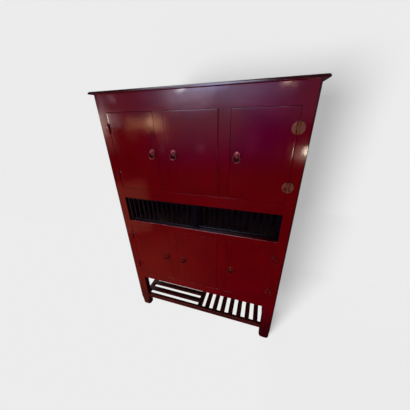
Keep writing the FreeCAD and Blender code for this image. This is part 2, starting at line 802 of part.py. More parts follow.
def carcass():
    """The pieces that stand still, by name."""
    boards = [floor_board(level) for level in (LOWER_DOORS_BOTTOM, WAIST_BOTTOM, UPPER_DOORS_BOTTOM)]
    rails = front_rails(boards)
    back_panels = [back_panel(bottom, top) for bottom, top in WALL_SPACES]
    back_rails = [
        back_rail(bottom, height).cut(back_panels + boards) for bottom, height in RAIL_BANDS.values()
    ]
    left_panels = [left_side_panel(bottom, top) for bottom, top in WALL_SPACES]
    left_rails = [
        left_side_rail(bottom, height).cut(left_panels) for bottom, height in RAIL_BANDS.values()
    ]

    lengthwise = lengthwise_slats()
    depthwise = depthwise_slats()
    cross_rail = base_cross_rail()
    base_front = base_long_rail(BASE_RAIL_SETBACK).cut(depthwise + [cross_rail])
    base_back = base_long_rail(BODY_DEPTH - BASE_RAIL_SETBACK - BASE_RAIL_DEPTH)
    base_back = base_back.cut(depthwise + [cross_rail])
    base_side = base_left_side_rail()

    side_pieces = left_rails + left_panels + [base_side]
    front_post = front_post_blank().cut(list(rails.values()) + [base_front] + side_pieces)
    back_post = back_post_blank().cut(back_rails + back_panels + [base_back] + side_pieces)

    levels = [level for bottom, top in DOOR_ROWS.values() for level in hinge_levels(bottom, top)]
    return {
        "top_board": [top_board()],
        "front_left_post": [front_post],
        "front_right_post": [mirrored(front_post)],
        "back_left_post": [back_post],
        "back_right_post": [mirrored(back_post)],
        "header_rail": [rails["header"]],
        "waist_upper_rail": [rails["waist_upper"]],
        "waist_lower_rail": [rails["waist_lower"]],
        "bottom_front_rail": [rails["bottom"]],
        "mullions": carcass_mullions(),
        "side_rails": with_mirror(left_rails),
        "side_panels": with_mirror(left_panels),
        "back_rails": back_rails,
        "back_panels": back_panels,
        "lower_floor_board": [boards[0]],
        "waist_floor_board": [boards[1]],
        "upper_floor_board": [boards[2]],
        "upper_shelf": [upper_shelf()],
        "shelf_bearers": with_mirror([left_shelf_bearer()]),
        "base_front_rail": [base_front],
        "base_back_rail": [base_back],
        "base_side_rails": [base_side.cut(lengthwise), mirrored(base_side)],
        "base_cross_rail": [cross_rail.cut(lengthwise)],
        "lengthwise_slats": lengthwise,
        "depthwise_slats": depthwise,
        "post_hinge_leaves": with_mirror([post_leaf(level) for level in levels]),
        "hinge_pins": with_mirror([hinge_pin(level) for level in levels]),
    }


def doors():
    """The pieces of the six doors and their pulls, by name."""
    pieces = {}
    for row, (bottom, top) in DOOR_ROWS.items():
        leaves = [door_leaf(level) for level in hinge_levels(bottom, top)]
        pieces[row + "_left_hinge_leaves"] = leaves
        pieces[row + "_right_hinge_leaves"] = [mirrored(leaf) for leaf in leaves]
        for column in DOOR_COLUMNS:
            name = row + "_" + column
            pieces[name + "_door_frame"] = door_frame(row, column)
            pieces[name + "_door_panel"] = [door_panel(row, column)]
            pieces[name + "_pull_boss"] = [pull_boss(row, column)]
            pieces[name + "_pull_ring"] = [pull_ring(row, column)]
    return pieces


def lattices():
    """The pieces of the two sliding lattice panels, by name."""
    pieces = {}
    for name, side in (("left", -1), ("right", 1)):
        pieces[name + "_lattice_frame"] = lattice_frame(side)
        pieces[name + "_lattice_bars"] = lattice_bars(side)
    return pieces


def save(name, solids):
    """Writes a node, moved so that the origin is the middle of the whole box on the floor."""
    shape = solids[0] if len(solids) == 1 else Part.makeCompound(solids)
    shape = shape.copy()
    shape.translate(ORIGIN_SHIFT)
    for solid in shape.Solids:
        if not solid.isValid():
            print("not valid:", name)
    shape.exportStep(os.path.join("parts", name + ".step"))
    print(name, len(shape.Solids), "solids", round(shape.Volume / 1000.0, 2), "cm3")


def main():
    """Builds every node."""
    os.makedirs("parts", exist_ok=True)
    for group in (carcass(), doors(), lattices()):
        for name, solids in group.items():
            save(name, solids)


if __name__ == "__main__":
    main()
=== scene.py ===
"""Looks of a six-door lacquered kitchen cabinet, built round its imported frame. Lengths are in metres."""

import logging
import math
from dataclasses import dataclass, replace
from enum import Enum
from functools import cache
from typing import Callable, Iterable

import bmesh
import bpy
from bmesh.types import BMEdge, BMesh, BMFace, BMLayerItem, BMVert
from bpy.types import ID, Material, Node, NodeOutputs, NodeSocket, NodeTree, Object
from mathutils import Matrix, Vector


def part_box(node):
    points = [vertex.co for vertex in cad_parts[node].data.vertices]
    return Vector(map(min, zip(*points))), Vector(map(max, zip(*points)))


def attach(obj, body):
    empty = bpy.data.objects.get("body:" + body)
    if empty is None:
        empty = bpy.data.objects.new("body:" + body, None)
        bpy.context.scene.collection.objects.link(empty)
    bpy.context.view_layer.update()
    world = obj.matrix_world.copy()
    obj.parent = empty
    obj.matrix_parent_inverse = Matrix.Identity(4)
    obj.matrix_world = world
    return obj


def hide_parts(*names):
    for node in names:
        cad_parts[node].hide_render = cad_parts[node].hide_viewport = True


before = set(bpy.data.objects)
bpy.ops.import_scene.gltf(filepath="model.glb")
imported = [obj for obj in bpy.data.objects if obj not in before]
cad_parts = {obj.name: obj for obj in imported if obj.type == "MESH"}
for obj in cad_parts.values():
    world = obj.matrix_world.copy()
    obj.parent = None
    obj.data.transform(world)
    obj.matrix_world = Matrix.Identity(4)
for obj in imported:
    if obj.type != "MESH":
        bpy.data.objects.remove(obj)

LOG = logging.getLogger("cabinet")
Colour = tuple[float, float, float]
Place = tuple[float, float, float]
Plane = tuple[int, float]
Edge = tuple[int, float, int]
Inputs = dict[str | int, object]
EdgeTest = Callable[[BMEdge], bool]
FaceTest = Callable[[BMFace], bool]

MILLIMETRE = 0.001
WELD = 1e-6
TOUCH = 2e-5
FLAT_ANGLE = 0.01
CORNER_ANGLE = math.radians(40)
SHARP_ANGLE = math.radians(50)
SQUARE_ON = 0.9
LOT_STEP = 0.618034
WHITE = (1.0, 1.0, 1.0)
NO_LIGHT = (0.0, 0.0, 0.0)
ORIGIN = (0.0, 0.0, 0.0)


class Grain(Enum):
    """The way a piece's wood runs, as the turn that lays it along Z."""

    ACROSS = (0.0, math.pi / 2, 0.0)
    DEEP = (math.pi / 2, 0.0, 0.0)
    UPRIGHT = (0.0, 0.0, 0.0)


class Row(Enum):
    """The two rows of doors."""

    UPPER = "upper"
    LOWER = "lower"


class Column(Enum):
    """The three columns of doors."""

    LEFT = "left"
    MIDDLE = "middle"
    RIGHT = "right"


class Side(Enum):
    """The two sides of the cabinet."""

    LEFT = "left"
    RIGHT = "right"


class Slot(Enum):
    """The record's material slots."""

    RED = "red_lacquer"
    TOP = "dark_top_lacquer"
    SHELF = "shelf_lacquer"
    BLACK = "black_lacquer"
    INSIDE = "inside_wood"
    BRASS = "aged_brass"
    BRONZE = "dark_bronze"


class Sheet:
    """A shader node tree, with short calls for what the finishes repeat."""

    def __init__(self, tree: NodeTree) -> None:
        """Starts on a tree as it is."""
        self.tree = tree

    @classmethod
    def cleared(cls, owner: ID) -> "Sheet":
        """The emptied tree of a material or a world.

        Args:
            owner: The material or the world.

        Returns:
            A sheet on its tree.
        """
        owner.use_nodes = True
        owner.node_tree.nodes.clear()
        return cls(owner.node_tree)

    def feed(self, node: Node, inputs: Inputs) -> None:
        """Links or sets a node's inputs.

        Args:
            node: The node.
            inputs: An output socket, a number, a vector or a colour for each input, by name or number.
        """
        for key, value in inputs.items():
            socket = node.inputs[key]
            if isinstance(value, NodeSocket):
                self.tree.links.new(value, socket)
            elif socket.type == "RGBA":
                socket.default_value = (*value, 1.0)
            else:
                socket.default_value = value

    def node(self, kind: str, inputs: Inputs | None = None, **settings: object) -> Node:
        """Adds a node.

        Args:
            kind: The node's type, without its ShaderNode prefix.
            inputs: What its inputs take.
            settings: The node's own properties.

        Returns:
            The new node.
        """
        made = self.tree.nodes.new("ShaderNode" + kind)
        for key, value in settings.items():
            setattr(made, key, value)
        self.feed(made, inputs or {})
        return made

    def maths(self, operation: str, first: object, second: object = 0.0) -> NodeSocket:
        """One sum on two numbers."""
        return self.node("Math", {0: first, 1: second}, operation=operation).outputs[0]

    def weighed(self, *parts: tuple[NodeSocket, float]) -> NodeSocket:
        """The sum of some values, each times its weight.

        Args:
            parts: Each value with its weight.

        Returns:
            The sum.
        """
        total, *others = [self.maths("MULTIPLY", *part) for part in parts]
        for other in others:
            total = self.maths("ADD", total, other)
        return total

    def vectors(self, operation: str, first: object, second: object) -> NodeSocket:
        """One sum on two vectors."""
        return self.node("VectorMath", {0: first, 1: second}, operation=operation).outputs[0]

    def axis(self, vector: NodeSocket, name: str) -> NodeSocket:
        """A vector's share along X, Y or Z."""
        return self.node("SeparateXYZ", {0: vector}).outputs[name]

    def mark(self, label: str) -> NodeSocket:
        """The value that each face carries under a label."""
        return self.node("Attribute", attribute_name=label).outputs["Fac"]

    def mixed(self, share: object, first: object, second: object, blend: str = "MIX") -> NodeSocket:
        """Two colours in a given share."""
        inputs = {0: share, 6: first, 7: second}
        return self.node("Mix", inputs, data_type="RGBA", blend_type=blend).outputs[2]

    def between(self, share: object, first: object, second: object) -> NodeSocket:
        """Two numbers in a given share."""
        return self.node("Mix", {0: share, 2: first, 3: second}, data_type="FLOAT").outputs[0]

    def spread(
        self, value: object, low: float, high: float, start: float = 0.0, end: float = 1.0
    ) -> NodeSocket:
        """A value carried from one range to another, held at both ends."""
        inputs = {"Value": value, "From Min": low, "From Max": high, "To Min": start, "To Max": end}
        return self.node("MapRange", inputs, interpolation_type="SMOOTHSTEP").outputs[0]

    def noise(self, vector: object, scale: float, detail: float = 2.0, rough: float = 0.5) -> NodeSocket:
        """A cloudy value from 0 to 1."""
        inputs = {"Vector": vector, "Scale": scale, "Detail": detail, "Roughness": rough}
        return self.node("TexNoise", inputs).outputs[0]


class Effect:
    """A shader node group that several finishes share."""

    COLOURS = "Colour Deep Bare Dust Early Late Stain Metal Oxide Grime".split()

    def __init__(self, name: str, inputs: str, outputs: str) -> None:
        """Makes the group with its sockets.

        Args:
            name: The group's name.
            inputs: The inputs' names, with spaces between them.
            outputs: The outputs' names, with spaces between them.
        """
        self.tree = bpy.data.node_groups.new(name, "ShaderNodeTree")
        self.sheet = Sheet(self.tree)
        for way, labels in (("INPUT", inputs), ("OUTPUT", outputs)):
            for label in labels.split():
                self.tree.interface.new_socket(name=label, in_out=way, socket_type=self.kind(label))
        sockets = self.tree.nodes.new("NodeGroupInput").outputs
        self.given = [sockets[label] for label in inputs.split()]
        self.result = self.tree.nodes.new("NodeGroupOutput")

    @classmethod
    def kind(cls, label: str) -> str:
        """The kind of socket that a name has.

        Args:
            label: The socket's name.

        Returns:
            The socket's type.
        """
        if label == "Vector":
            return "NodeSocketVector"
        return "NodeSocketColor" if label in cls.COLOURS else "NodeSocketFloat"

    def give(self, **outputs: object) -> "Effect":
        """Links what the group puts out."""
        self.sheet.feed(self.result, outputs)
        return self

    def placed(self, sheet: Sheet, **inputs: object) -> NodeOutputs:
        """The outputs of the group, placed in a finish with these inputs."""
        return sheet.node("Group", inputs, node_tree=self.tree).outputs


@cache
def lacquer_film() -> Effect:
    """Brushed lacquer: cloudy depth, a hint of grain, smears and orange peel.

    Returns:
        The effect, built once.
    """
    effect = Effect("Lacquer film", "Vector Lot Colour Deep Gloss", "Colour Roughness Height")
    sheet = effect.sheet
    vector, lot, colour, deep, gloss = effect.given
    moved = sheet.vectors("ADD", vector, sheet.maths("MULTIPLY", lot, 7.0))
    long = sheet.vectors("MULTIPLY", moved, (1.0, 1.0, 0.06))
    cloud = sheet.noise(moved, 4.5, 3.0, 0.55)
    streak = sheet.noise(long, 70.0, 4.0, 0.6)
    swell = sheet.noise(moved, 14.0, 1.0)
    ripple = sheet.noise(moved, 38.0, 1.0)
    peel = sheet.noise(moved, 260.0, 1.0)
    smear = sheet.noise(moved, 11.0, 5.0, 0.65)
    tone = sheet.weighed((cloud, 0.7), (streak, 0.3))
    return effect.give(
        Colour=sheet.mixed(sheet.spread(tone, 0.38, 0.62), deep, colour),
        Roughness=sheet.maths("ADD", gloss, sheet.spread(smear, 0.4, 0.72, 0.0, 0.04)),
        Height=sheet.weighed((swell, 0.32), (streak, 0.012), (ripple, 0.07), (peel, 0.006)),
    )


@cache
def worn_arris_and_light() -> Effect:
    """The bare colour on a piece's eased edges, in patches: worn lacquer mostly, painted shade on the front
    posts and a painted highlight on the waist's sill.

    Returns:
        The effect, built once.
    """
    effect = Effect("Worn arris and painted light", "Vector Arris Colour Bare Amount", "Colour Mask")
    sheet = effect.sheet
    vector, arris, colour, bare, amount = effect.given
    patches = sheet.spread(sheet.noise(vector, 26.0, 5.0, 0.6), 0.42, 0.66)
    mask = sheet.maths("MULTIPLY", sheet.maths("MULTIPLY", patches, arris), amount)
    return effect.give(Colour=sheet.mixed(mask, colour, bare), Mask=mask)


@cache
def settled_dust() -> Effect:
    """A thin veil of dust on what faces up.

    Returns:
        The effect, built once.
    """
    effect = Effect("Settled dust", "Vector Colour Dust Amount", "Colour Mask")
    sheet = effect.sheet
    vector, colour, dust, amount = effect.given
    upward = sheet.axis(sheet.node("NewGeometry").outputs["Normal"], "Z")
    veil = sheet.spread(sheet.noise(vector, 8.0, 6.0, 0.65), 0.35, 0.75)
    veil = sheet.maths("MULTIPLY", veil, amount)
    mask = sheet.maths("MULTIPLY", sheet.spread(upward, 0.6, 0.98), veil)
    return effect.give(Colour=sheet.mixed(mask, colour, dust), Mask=mask)


@cache
def sawn_board() -> Effect:
    """Bare softwood: bands of early and late wood, fibres and a few stains.

    Returns:
        The effect, built once.
    """
    effect = Effect("Sawn board", "Vector Lot Early Late Stain", "Colour Roughness Height")
    sheet = effect.sheet
    vector, lot, early, late, stain = effect.given
    moved = sheet.vectors("ADD", vector, sheet.maths("MULTIPLY", lot, 5.0))
    long = sheet.vectors("MULTIPLY", moved, (1.0, 1.0, 0.05))
    bent = sheet.vectors("ADD", long, sheet.maths("MULTIPLY", sheet.noise(long, 9.0), 0.35))
    wave = {"Vector": bent, "Scale": 9.0, "Distortion": 3.0, "Detail": 2.0, "Detail Scale": 1.2}
    bands = sheet.node("TexWave", wave, bands_direction="DIAGONAL").outputs["Fac"]
    fibre = sheet.noise(long, 260.0, 3.0, 0.6)
    stained = sheet.spread(sheet.noise(moved, 5.0, 5.0, 0.6), 0.5, 0.78, 0.0, 0.6)
    colour = sheet.mixed(sheet.spread(bands, 0.25, 0.95), early, late)
    colour = sheet.mixed(sheet.spread(fibre, 0.45, 0.75, 0.0, 0.4), colour, late)
    return effect.give(
        Colour=sheet.mixed(stained, colour, stain),
        Roughness=sheet.spread(fibre, 0.3, 0.7, 0.5, 0.75),
        Height=sheet.weighed((bands, 0.05), (fibre, 0.05)),
    )


@cache
def metal_patina() -> Effect:
    """Brown oxide over metal, thinner where hands and hammer touched it.

    Returns:
        The effect, built once.
    """
    effect = Effect("Metal patina", "Vector Metal Oxide Cover", "Colour Roughness Metallic Height")
    sheet = effect.sheet
    vector, metal, oxide, cover = effect.given
    broad = sheet.noise(vector, 55.0, 4.0, 0.6)
    specks = sheet.noise(vector, 420.0, 4.0, 0.7)
    hammer = sheet.noise(vector, 170.0, 0.0)
    share = sheet.weighed((broad, 0.6), (specks, 0.4))
    share = sheet.maths("ADD", share, sheet.maths("SUBTRACT", cover, 0.5))
    mask = sheet.spread(share, 0.36, 0.64)
    return effect.give(
        Colour=sheet.mixed(mask, metal, oxide),
        Roughness=sheet.spread(mask, 0.0, 1.0, 0.3, 0.5),
        Metallic=sheet.spread(mask, 0.0, 1.0, 0.8, 0.4),
        Height=sheet.weighed((hammer, 0.25), (specks, 0.05)),
    )


@cache
def post_edge_shade() -> Effect:
    """Painted shade along the outer edge of a front post.

    Returns:
        The effect, built once.
    """
    effect = Effect("Post edge shade", "Vector Colour Bare Edge Reach", "Colour")
    sheet = effect.sheet
    vector, colour, bare, edge, reach = effect.given
    across = sheet.maths("ABSOLUTE", sheet.axis(sheet.node("TexCoord").outputs["Object"], "X"))
    far = sheet.maths("DIVIDE", sheet.maths("SUBTRACT", edge, across), reach)
    ragged = sheet.spread(sheet.noise(vector, 22.0, 4.0, 0.6), 0.3, 0.7, -0.25, 0.25)
    near = sheet.spread(sheet.maths("ADD", far, ragged), 1.2, 0.6)
    forward = sheet.spread(sheet.axis(sheet.node("NewGeometry").outputs["Normal"], "Y"), -0.2, -0.6)
    return effect.give(Colour=sheet.mixed(sheet.maths("MULTIPLY", near, forward), colour, bare))


@cache
def foot_shade() -> Effect:
    """Painted shade on what stands on the floor, darkest at the foot.

    Returns:
        The effect, built once.
    """
    effect = Effect("Foot shade", "Vector Colour Grime Amount", "Colour")
    sheet = effect.sheet
    vector, colour, grime, amount = effect.given
    height = sheet.axis(sheet.node("TexCoord").outputs["Object"], "Z")
    ragged = sheet.spread(sheet.noise(vector, 9.0, 4.0, 0.6), 0.3, 0.7, -0.05, 0.05)
    share = sheet.spread(sheet.maths("ADD", height, ragged), 0.45, 0.0)
    return effect.give(Colour=sheet.mixed(sheet.maths("MULTIPLY", share, amount), colour, grime))


@cache
def worn_through() -> Effect:
    """Where a coat is rubbed off what lies beneath it.

    Returns:
        The effect, built once.
    """
    effect = Effect("Worn through", "Vector Showing", "Mask")
    sheet = effect.sheet
    vector, showing = effect.given
    patches = sheet.noise(vector, 60.0, 4.0, 0.6)
    share = sheet.maths("ADD", patches, sheet.maths("SUBTRACT", showing, 0.5))
    return effect.give(Mask=sheet.spread(share, 0.38, 0.62))


@dataclass(frozen=True)
class Finish:
    """What every finish has: its name, its slot in the record and the relief that its pattern gives."""

    name: str
    slot: Slot
    relief: float = MILLIMETRE

    def material(self, grain: Grain) -> Material:
        """The finish as a material, made once for each way of the grain.

        Args:
            grain: The way the wood runs.

        Returns:
            The material.
        """
        name = f"{self.name} {grain.name.lower()}"
        found = bpy.data.materials.get(name)
        if found:
            return found
        made = bpy.data.materials.new(name)
        sheet = Sheet.cleared(made)
        where = sheet.node("TexCoord").outputs["Object"]
        turned = sheet.node("Mapping", {"Vector": where, "Rotation": grain.value}).outputs[0]
        inputs = self.dress(sheet, turned)
        bump = sheet.node("Bump", {"Height": inputs.pop("Height"), "Distance": self.relief}).outputs[0]
        shader = sheet.node("BsdfPrincipled", {**inputs, "Normal": bump}).outputs[0]
        sheet.node("OutputMaterial", {"Surface": shader})
        return made

    def dress(self, sheet: Sheet, where: NodeSocket) -> Inputs:
        """What the shader takes. Each kind of finish has its own way.

        Args:
            sheet: The material's tree.
            where: Object coordinates, turned so that the grain runs along Z.

        Returns:
            The inputs of the Principled BSDF, and the Height of the surface's relief.
        """
        raise NotImplementedError


@dataclass(frozen=True, kw_only=True)
class Lacquer(Finish):
    """Brushed lacquer over wood."""

    colour: Colour
    deep: Colour
    bare: Colour
    dust: Colour = (0.3, 0.24, 0.22)
    gloss: float
    specular: float = 0.5
    arris_amount: float
    dustiness: float = 0.1

    def tinted(self, sheet: Sheet, where: NodeSocket, colour: NodeSocket) -> NodeSocket:
        """The film's colour with what a kind of lacquer adds to it, which is nothing here."""
        return colour

    def dress(self, sheet: Sheet, where: NodeSocket) -> Inputs:
        """Lacquer film with its bare colour at the arrises, and a little dust on top.

        Args:
            sheet: The material's tree.
            where: Object coordinates, turned so that the grain runs along Z.

        Returns:
            The inputs of the Principled BSDF, and the Height of the surface's relief.
        """
        lot = sheet.mark("lot")
        arris = sheet.mark("arris")
        film = lacquer_film().placed(
            sheet, Vector=where, Lot=lot, Colour=self.colour, Deep=self.deep, Gloss=self.gloss
        )
        arris_tone = worn_arris_and_light().placed(
            sheet, Vector=where, Arris=arris, Colour=film["Colour"], Bare=self.bare, Amount=self.arris_amount
        )
        tinted = self.tinted(sheet, where, arris_tone["Colour"])
        dust = settled_dust().placed(
            sheet, Vector=where, Colour=tinted, Dust=self.dust, Amount=self.dustiness
        )
        worn = sheet.weighed((arris_tone["Mask"], 0.2), (dust["Mask"], 0.6))
        return {
            "Base Color": dust["Colour"],
            "Roughness": sheet.maths("ADD", film["Roughness"], worn),
            "Specular IOR Level": self.specular,
            "Height": film["Height"],
        }


@dataclass(frozen=True, kw_only=True)
class PostLacquer(Lacquer):
    """Lacquer of a front post, with painted shade along its outer edge and towards its foot."""

    # These three paint shade along the post's outer edge: its colour, the edge's place and how far it
    # reaches.
    edge_shade_colour: Colour = (0.05, 0.001, 0.002)
    edge: float = 0.575
    reach: float = 9.0 * MILLIMETRE
    # These two paint shade towards the post's foot, darkest at the floor.
    grime: Colour = (0.012, 0.002, 0.002)
    foot_shade_amount: float = 0.75

    def tinted(self, sheet: Sheet, where: NodeSocket, colour: NodeSocket) -> NodeSocket:
        """The film's colour with the painted shade along the outer edge and towards the foot.

        Args:
            sheet: The material's tree.
            where: Object coordinates, turned so that the grain runs along Z.
            colour: The film's colour.

        Returns:
            The colour with both.
        """
        edge_shaded = post_edge_shade().placed(
            sheet, Vector=where, Colour=colour, Bare=self.edge_shade_colour, Edge=self.edge, Reach=self.reach
        )
        foot_shaded = foot_shade().placed(
            sheet, Vector=where, Colour=edge_shaded["Colour"], Grime=self.grime, Amount=self.foot_shade_amount
        )
        return foot_shaded["Colour"]


@dataclass(frozen=True, kw_only=True)
class BareWood(Finish):
    """Unlacquered boards."""

    early: Colour
    late: Colour
    stain: Colour

    def dress(self, sheet: Sheet, where: NodeSocket) -> Inputs:
        """Sawn boards with no coat.

        Args:
            sheet: The material's tree.
            where: Object coordinates, turned so that the grain runs along Z.

        Returns:
            The inputs of the Principled BSDF, and the Height of the surface's relief.
        """
        lot = sheet.mark("lot")
        board = sawn_board().placed(
            sheet, Vector=where, Lot=lot, Early=self.early, Late=self.late, Stain=self.stain
        )
        return {"Base Color": board["Colour"], "Roughness": board["Roughness"], "Height": board["Height"]}


@dataclass(frozen=True, kw_only=True)
class Metal(Finish):
    """Metal under a patina."""

    relief: float = 0.3 * MILLIMETRE
    metal: Colour
    oxide: Colour
    cover: float = 0.5
    specular: float = 0.5

    def patina(self, sheet: Sheet, where: NodeSocket) -> NodeOutputs:
        """The metal with its oxide.

        Args:
            sheet: The material's tree.
            where: Object coordinates, turned so that the grain runs along Z.

        Returns:
            The outputs of the patina.
        """
        return metal_patina().placed(
            sheet, Vector=where, Metal=self.metal, Oxide=self.oxide, Cover=self.cover
        )

    def dress(self, sheet: Sheet, where: NodeSocket) -> Inputs:
        """Patina over metal.

        Args:
            sheet: The material's tree.
            where: Object coordinates, turned so that the grain runs along Z.

        Returns:
            The inputs of the Principled BSDF, and the Height of the surface's relief.
        """
        patina = self.patina(sheet, where)
        return {
            "Base Color": patina["Colour"],
            "Roughness": patina["Roughness"],
            "Metallic": patina["Metallic"],
            "Specular IOR Level": self.specular,
            "Height": patina["Height"],
        }


@dataclass(frozen=True, kw_only=True)
class LacqueredMetal(Metal):
    """Metal that was lacquered with the doors and is rubbed bare in places."""

    colour: Colour
    deep: Colour
    gloss: float

    def dress(self, sheet: Sheet, where: NodeSocket) -> Inputs:
        """Lacquer film with patina showing through it.

        Args:
            sheet: The material's tree.
            where: Object coordinates, turned so that the grain runs along Z.

        Returns:
            The inputs of the Principled BSDF, and the Height of the surface's relief.
        """
        lot = sheet.mark("lot")
        film = lacquer_film().placed(
            sheet, Vector=where, Lot=lot, Colour=self.colour, Deep=self.deep, Gloss=self.gloss
        )
        patina = self.patina(sheet, where)
        mask = worn_through().placed(sheet, Vector=where, Showing=sheet.mark("showing"))["Mask"]
        return {
            "Base Color": sheet.mixed(mask, film["Colour"], patina["Colour"]),
            "Roughness": sheet.between(mask, film["Roughness"], patina["Roughness"]),
            "Metallic": sheet.maths("MULTIPLY", mask, patina["Metallic"]),
            "Specular IOR Level": self.specular,
            "Height": sheet.between(mask, film["Height"], patina["Height"]),
        }


RED = Lacquer(
    "Red lacquer",
    Slot.RED,
    colour=(0.145, 0.0003, 0.0014),
    deep=(0.12, 0.0002, 0.001),
    bare=(0.15, 0.018, 0.012),
    gloss=0.07,
    arris_amount=0.2,
    dustiness=0.05,
)
# Painted highlight: the light bare colour on the arrises of the waist's lower rail paints the light that its
# sill catches.
SILL_HIGHLIGHT_RED = replace(RED, name="Red lacquer painted sill highlight", bare=(0.4, 0.08, 0.08), arris_amount=1.6)
# Painted shade: its dark bare colour darkens the post's rounded arrises.
POST_RED = PostLacquer(
    "Post red lacquer",
    Slot.RED,
    colour=RED.colour,
    deep=RED.deep,
    bare=(0.014, 0.001, 0.002),
    gloss=RED.gloss,
    arris_amount=1.0,
    dustiness=RED.dustiness,
)
# Painted shade for the post faces that look towards the middle.
INNER_SHADE_RED = replace(
    RED,
    name="Red lacquer painted shade",
    colour=(0.016, 0.001, 0.001),
    deep=(0.01, 0.001, 0.001),
    bare=(0.012, 0.001, 0.002),
    gloss=0.25,
    specular=0.2,
)
TOP = Lacquer(
    "Dark top lacquer",
    Slot.TOP,
    colour=(0.05, 0.003, 0.005),
    deep=(0.03, 0.002, 0.003),
    bare=(0.08, 0.02, 0.015),
    gloss=0.09,
    arris_amount=0.2,
)
SHELF = Lacquer(
    "Shelf lacquer",
    Slot.SHELF,
    colour=(0.075, 0.003, 0.003),
    deep=(0.045, 0.002, 0.002),
    bare=(0.22, 0.06, 0.045),
    gloss=0.3,
    specular=0.15,
    arris_amount=0.9,
    dustiness=0.04,
)
BLACK = Lacquer(
    "Black lacquer",
    Slot.BLACK,
    colour=(0.004, 0.002, 0.005),
    deep=(0.002, 0.001, 0.003),
    bare=(0.016, 0.009, 0.008),
    gloss=0.2,
    specular=0.3,
    arris_amount=0.25,
    dustiness=0.02,
)
# Bare softwood whose colours are kept very dark, which also paints the shade of the cabinet's inside.
INSIDE = BareWood(
    "Inside wood",
    Slot.INSIDE,
    early=(0.07, 0.034, 0.02),
    late=(0.035, 0.016, 0.009),
    stain=(0.02, 0.011, 0.007),
)
BRASS = LacqueredMetal(
    "Aged brass",
    Slot.BRASS,
    colour=RED.colour,
    deep=RED.deep,
    gloss=0.12,
    metal=(0.3, 0.12, 0.05),
    oxide=(0.2, 0.055, 0.022),
    cover=0.7,
)
BRONZE = Metal("Dark bronze", Slot.BRONZE, metal=(0.32, 0.05, 0.048), oxide=(0.09, 0.006, 0.008))
WORN_BRONZE = Metal("Worn bronze", Slot.BRONZE, metal=(0.42, 0.085, 0.08), oxide=(0.15, 0.014, 0.015))
RUDDY_BRONZE = LacqueredMetal(
    "Ruddy bronze",
    Slot.BRONZE,
    colour=(0.21, 0.022, 0.014),
    deep=(0.18, 0.014, 0.01),
    gloss=0.35,
    metal=(0.4, 0.08, 0.055),
    oxide=(0.24, 0.026, 0.018),
    cover=0.6,
    specular=0.12,
)
RUDDY_RING = replace(
    RUDDY_BRONZE, name="Ruddy ring", colour=(0.125, 0.003, 0.003), deep=(0.1, 0.0015, 0.002)
)
# Painted shade: the dark discs behind the rings stand for the shade that the boss and the ring throw inside
# the ring.
RUDDY_RING_SHADE = Metal(
    "Ruddy painted ring shade",
    Slot.BRONZE,
    metal=(0.1, 0.001, 0.001),
    oxide=(0.08, 0.0006, 0.0008),
    cover=0.7,
    specular=0.15,
)
RING_SHADE_BRONZE = replace(
    RUDDY_RING_SHADE, name="Bronze painted ring shade", metal=(0.05, 0.004, 0.005), oxide=(0.03, 0.001, 0.002)
)


def put(name: str, data: ID) -> Object:
    """A new object of the scene with this mesh, light or camera.

    Args:
        name: The object's name.
        data: The mesh, light or camera.

    Returns:
        The object.
    """
    made = bpy.data.objects.new(name, data)
    bpy.context.scene.collection.objects.link(made)
    return made


def islands(bm: BMesh) -> list[list[BMFace]]:
    """The faces of each separate solid in a mesh.

    Args:
        bm: The mesh.

    Returns:
        One list of faces for each solid.
    """
    left = set(bm.faces)
    found = []
    for start in bm.faces:
        if start not in left:
            continue
        left.discard(start)
        group = [start]
        for face in group:
            for edge in face.edges:
                for other in edge.link_faces:
                    if other in left:
                        left.discard(other)
                        group.append(other)
        found.append(group)
    return found


def box_of(faces: Iterable[BMFace]) -> tuple[Vector, Vector]:
    """Lowest and highest corner of some faces.

    Args:
        faces: The faces.

    Returns:
        The two corners.
    """
    places = [vert.co for face in faces for vert in face.verts]
    low = Vector(min(place[axis] for place in places) for axis in range(3))
    high = Vector(max(place[axis] for place in places) for axis in range(3))
    return low, high


def close(first: float, second: float) -> bool:
    """Whether two places are the same."""
    return abs(first - second) < TOUCH


def along_plane(edge: BMEdge, axis: int, value: float) -> bool:
    """Whether an edge lies in a plane square to an axis."""
    return all(close(vert.co[axis], value) for vert in edge.verts)


def meeting(plane: Plane, *others: Plane) -> EdgeTest:
    """A test of the edges that lie in a plane and in any of some others."""
    return lambda edge: along_plane(edge, *plane) and any(along_plane(edge, *other) for other in others)


def facing(axis: int, way: int) -> FaceTest:
    """A test of the faces that look along an axis, up it for 1 and down it for -1."""
    return lambda face: face.normal[axis] * way > SQUARE_ON


def facing_middle(face: BMFace) -> bool:
    """Whether a face of a side piece looks towards the middle of the cabinet."""
    return face.normal.x * face.calc_center_median().x < 0 and abs(face.normal.x) > SQUARE_ON


def edge_above(edge: BMEdge, low: Vector, high: Vector) -> bool:
    """Whether a level edge lies in the upper half of a box."""
    first, second = edge.verts
    return close(first.co.z, second.co.z) and first.co.z > (low.z + high.z) / 2


def spin_round(bm: BMesh, section: list[BMVert | BMEdge], centre: Vector, rounds: int) -> None:
    """Turns a section once round an axis along Y.

    Args:
        bm: The mesh that holds it.
        section: Its vertices and edges.
        centre: A place on the axis.
        rounds: Facets of the turn.
    """
    bmesh.ops.spin(
        bm,
        geom=section,
        cent=centre,
        axis=(0, 1, 0),
        angle=2 * math.pi,
        steps=rounds,
        use_merge=True,
    )


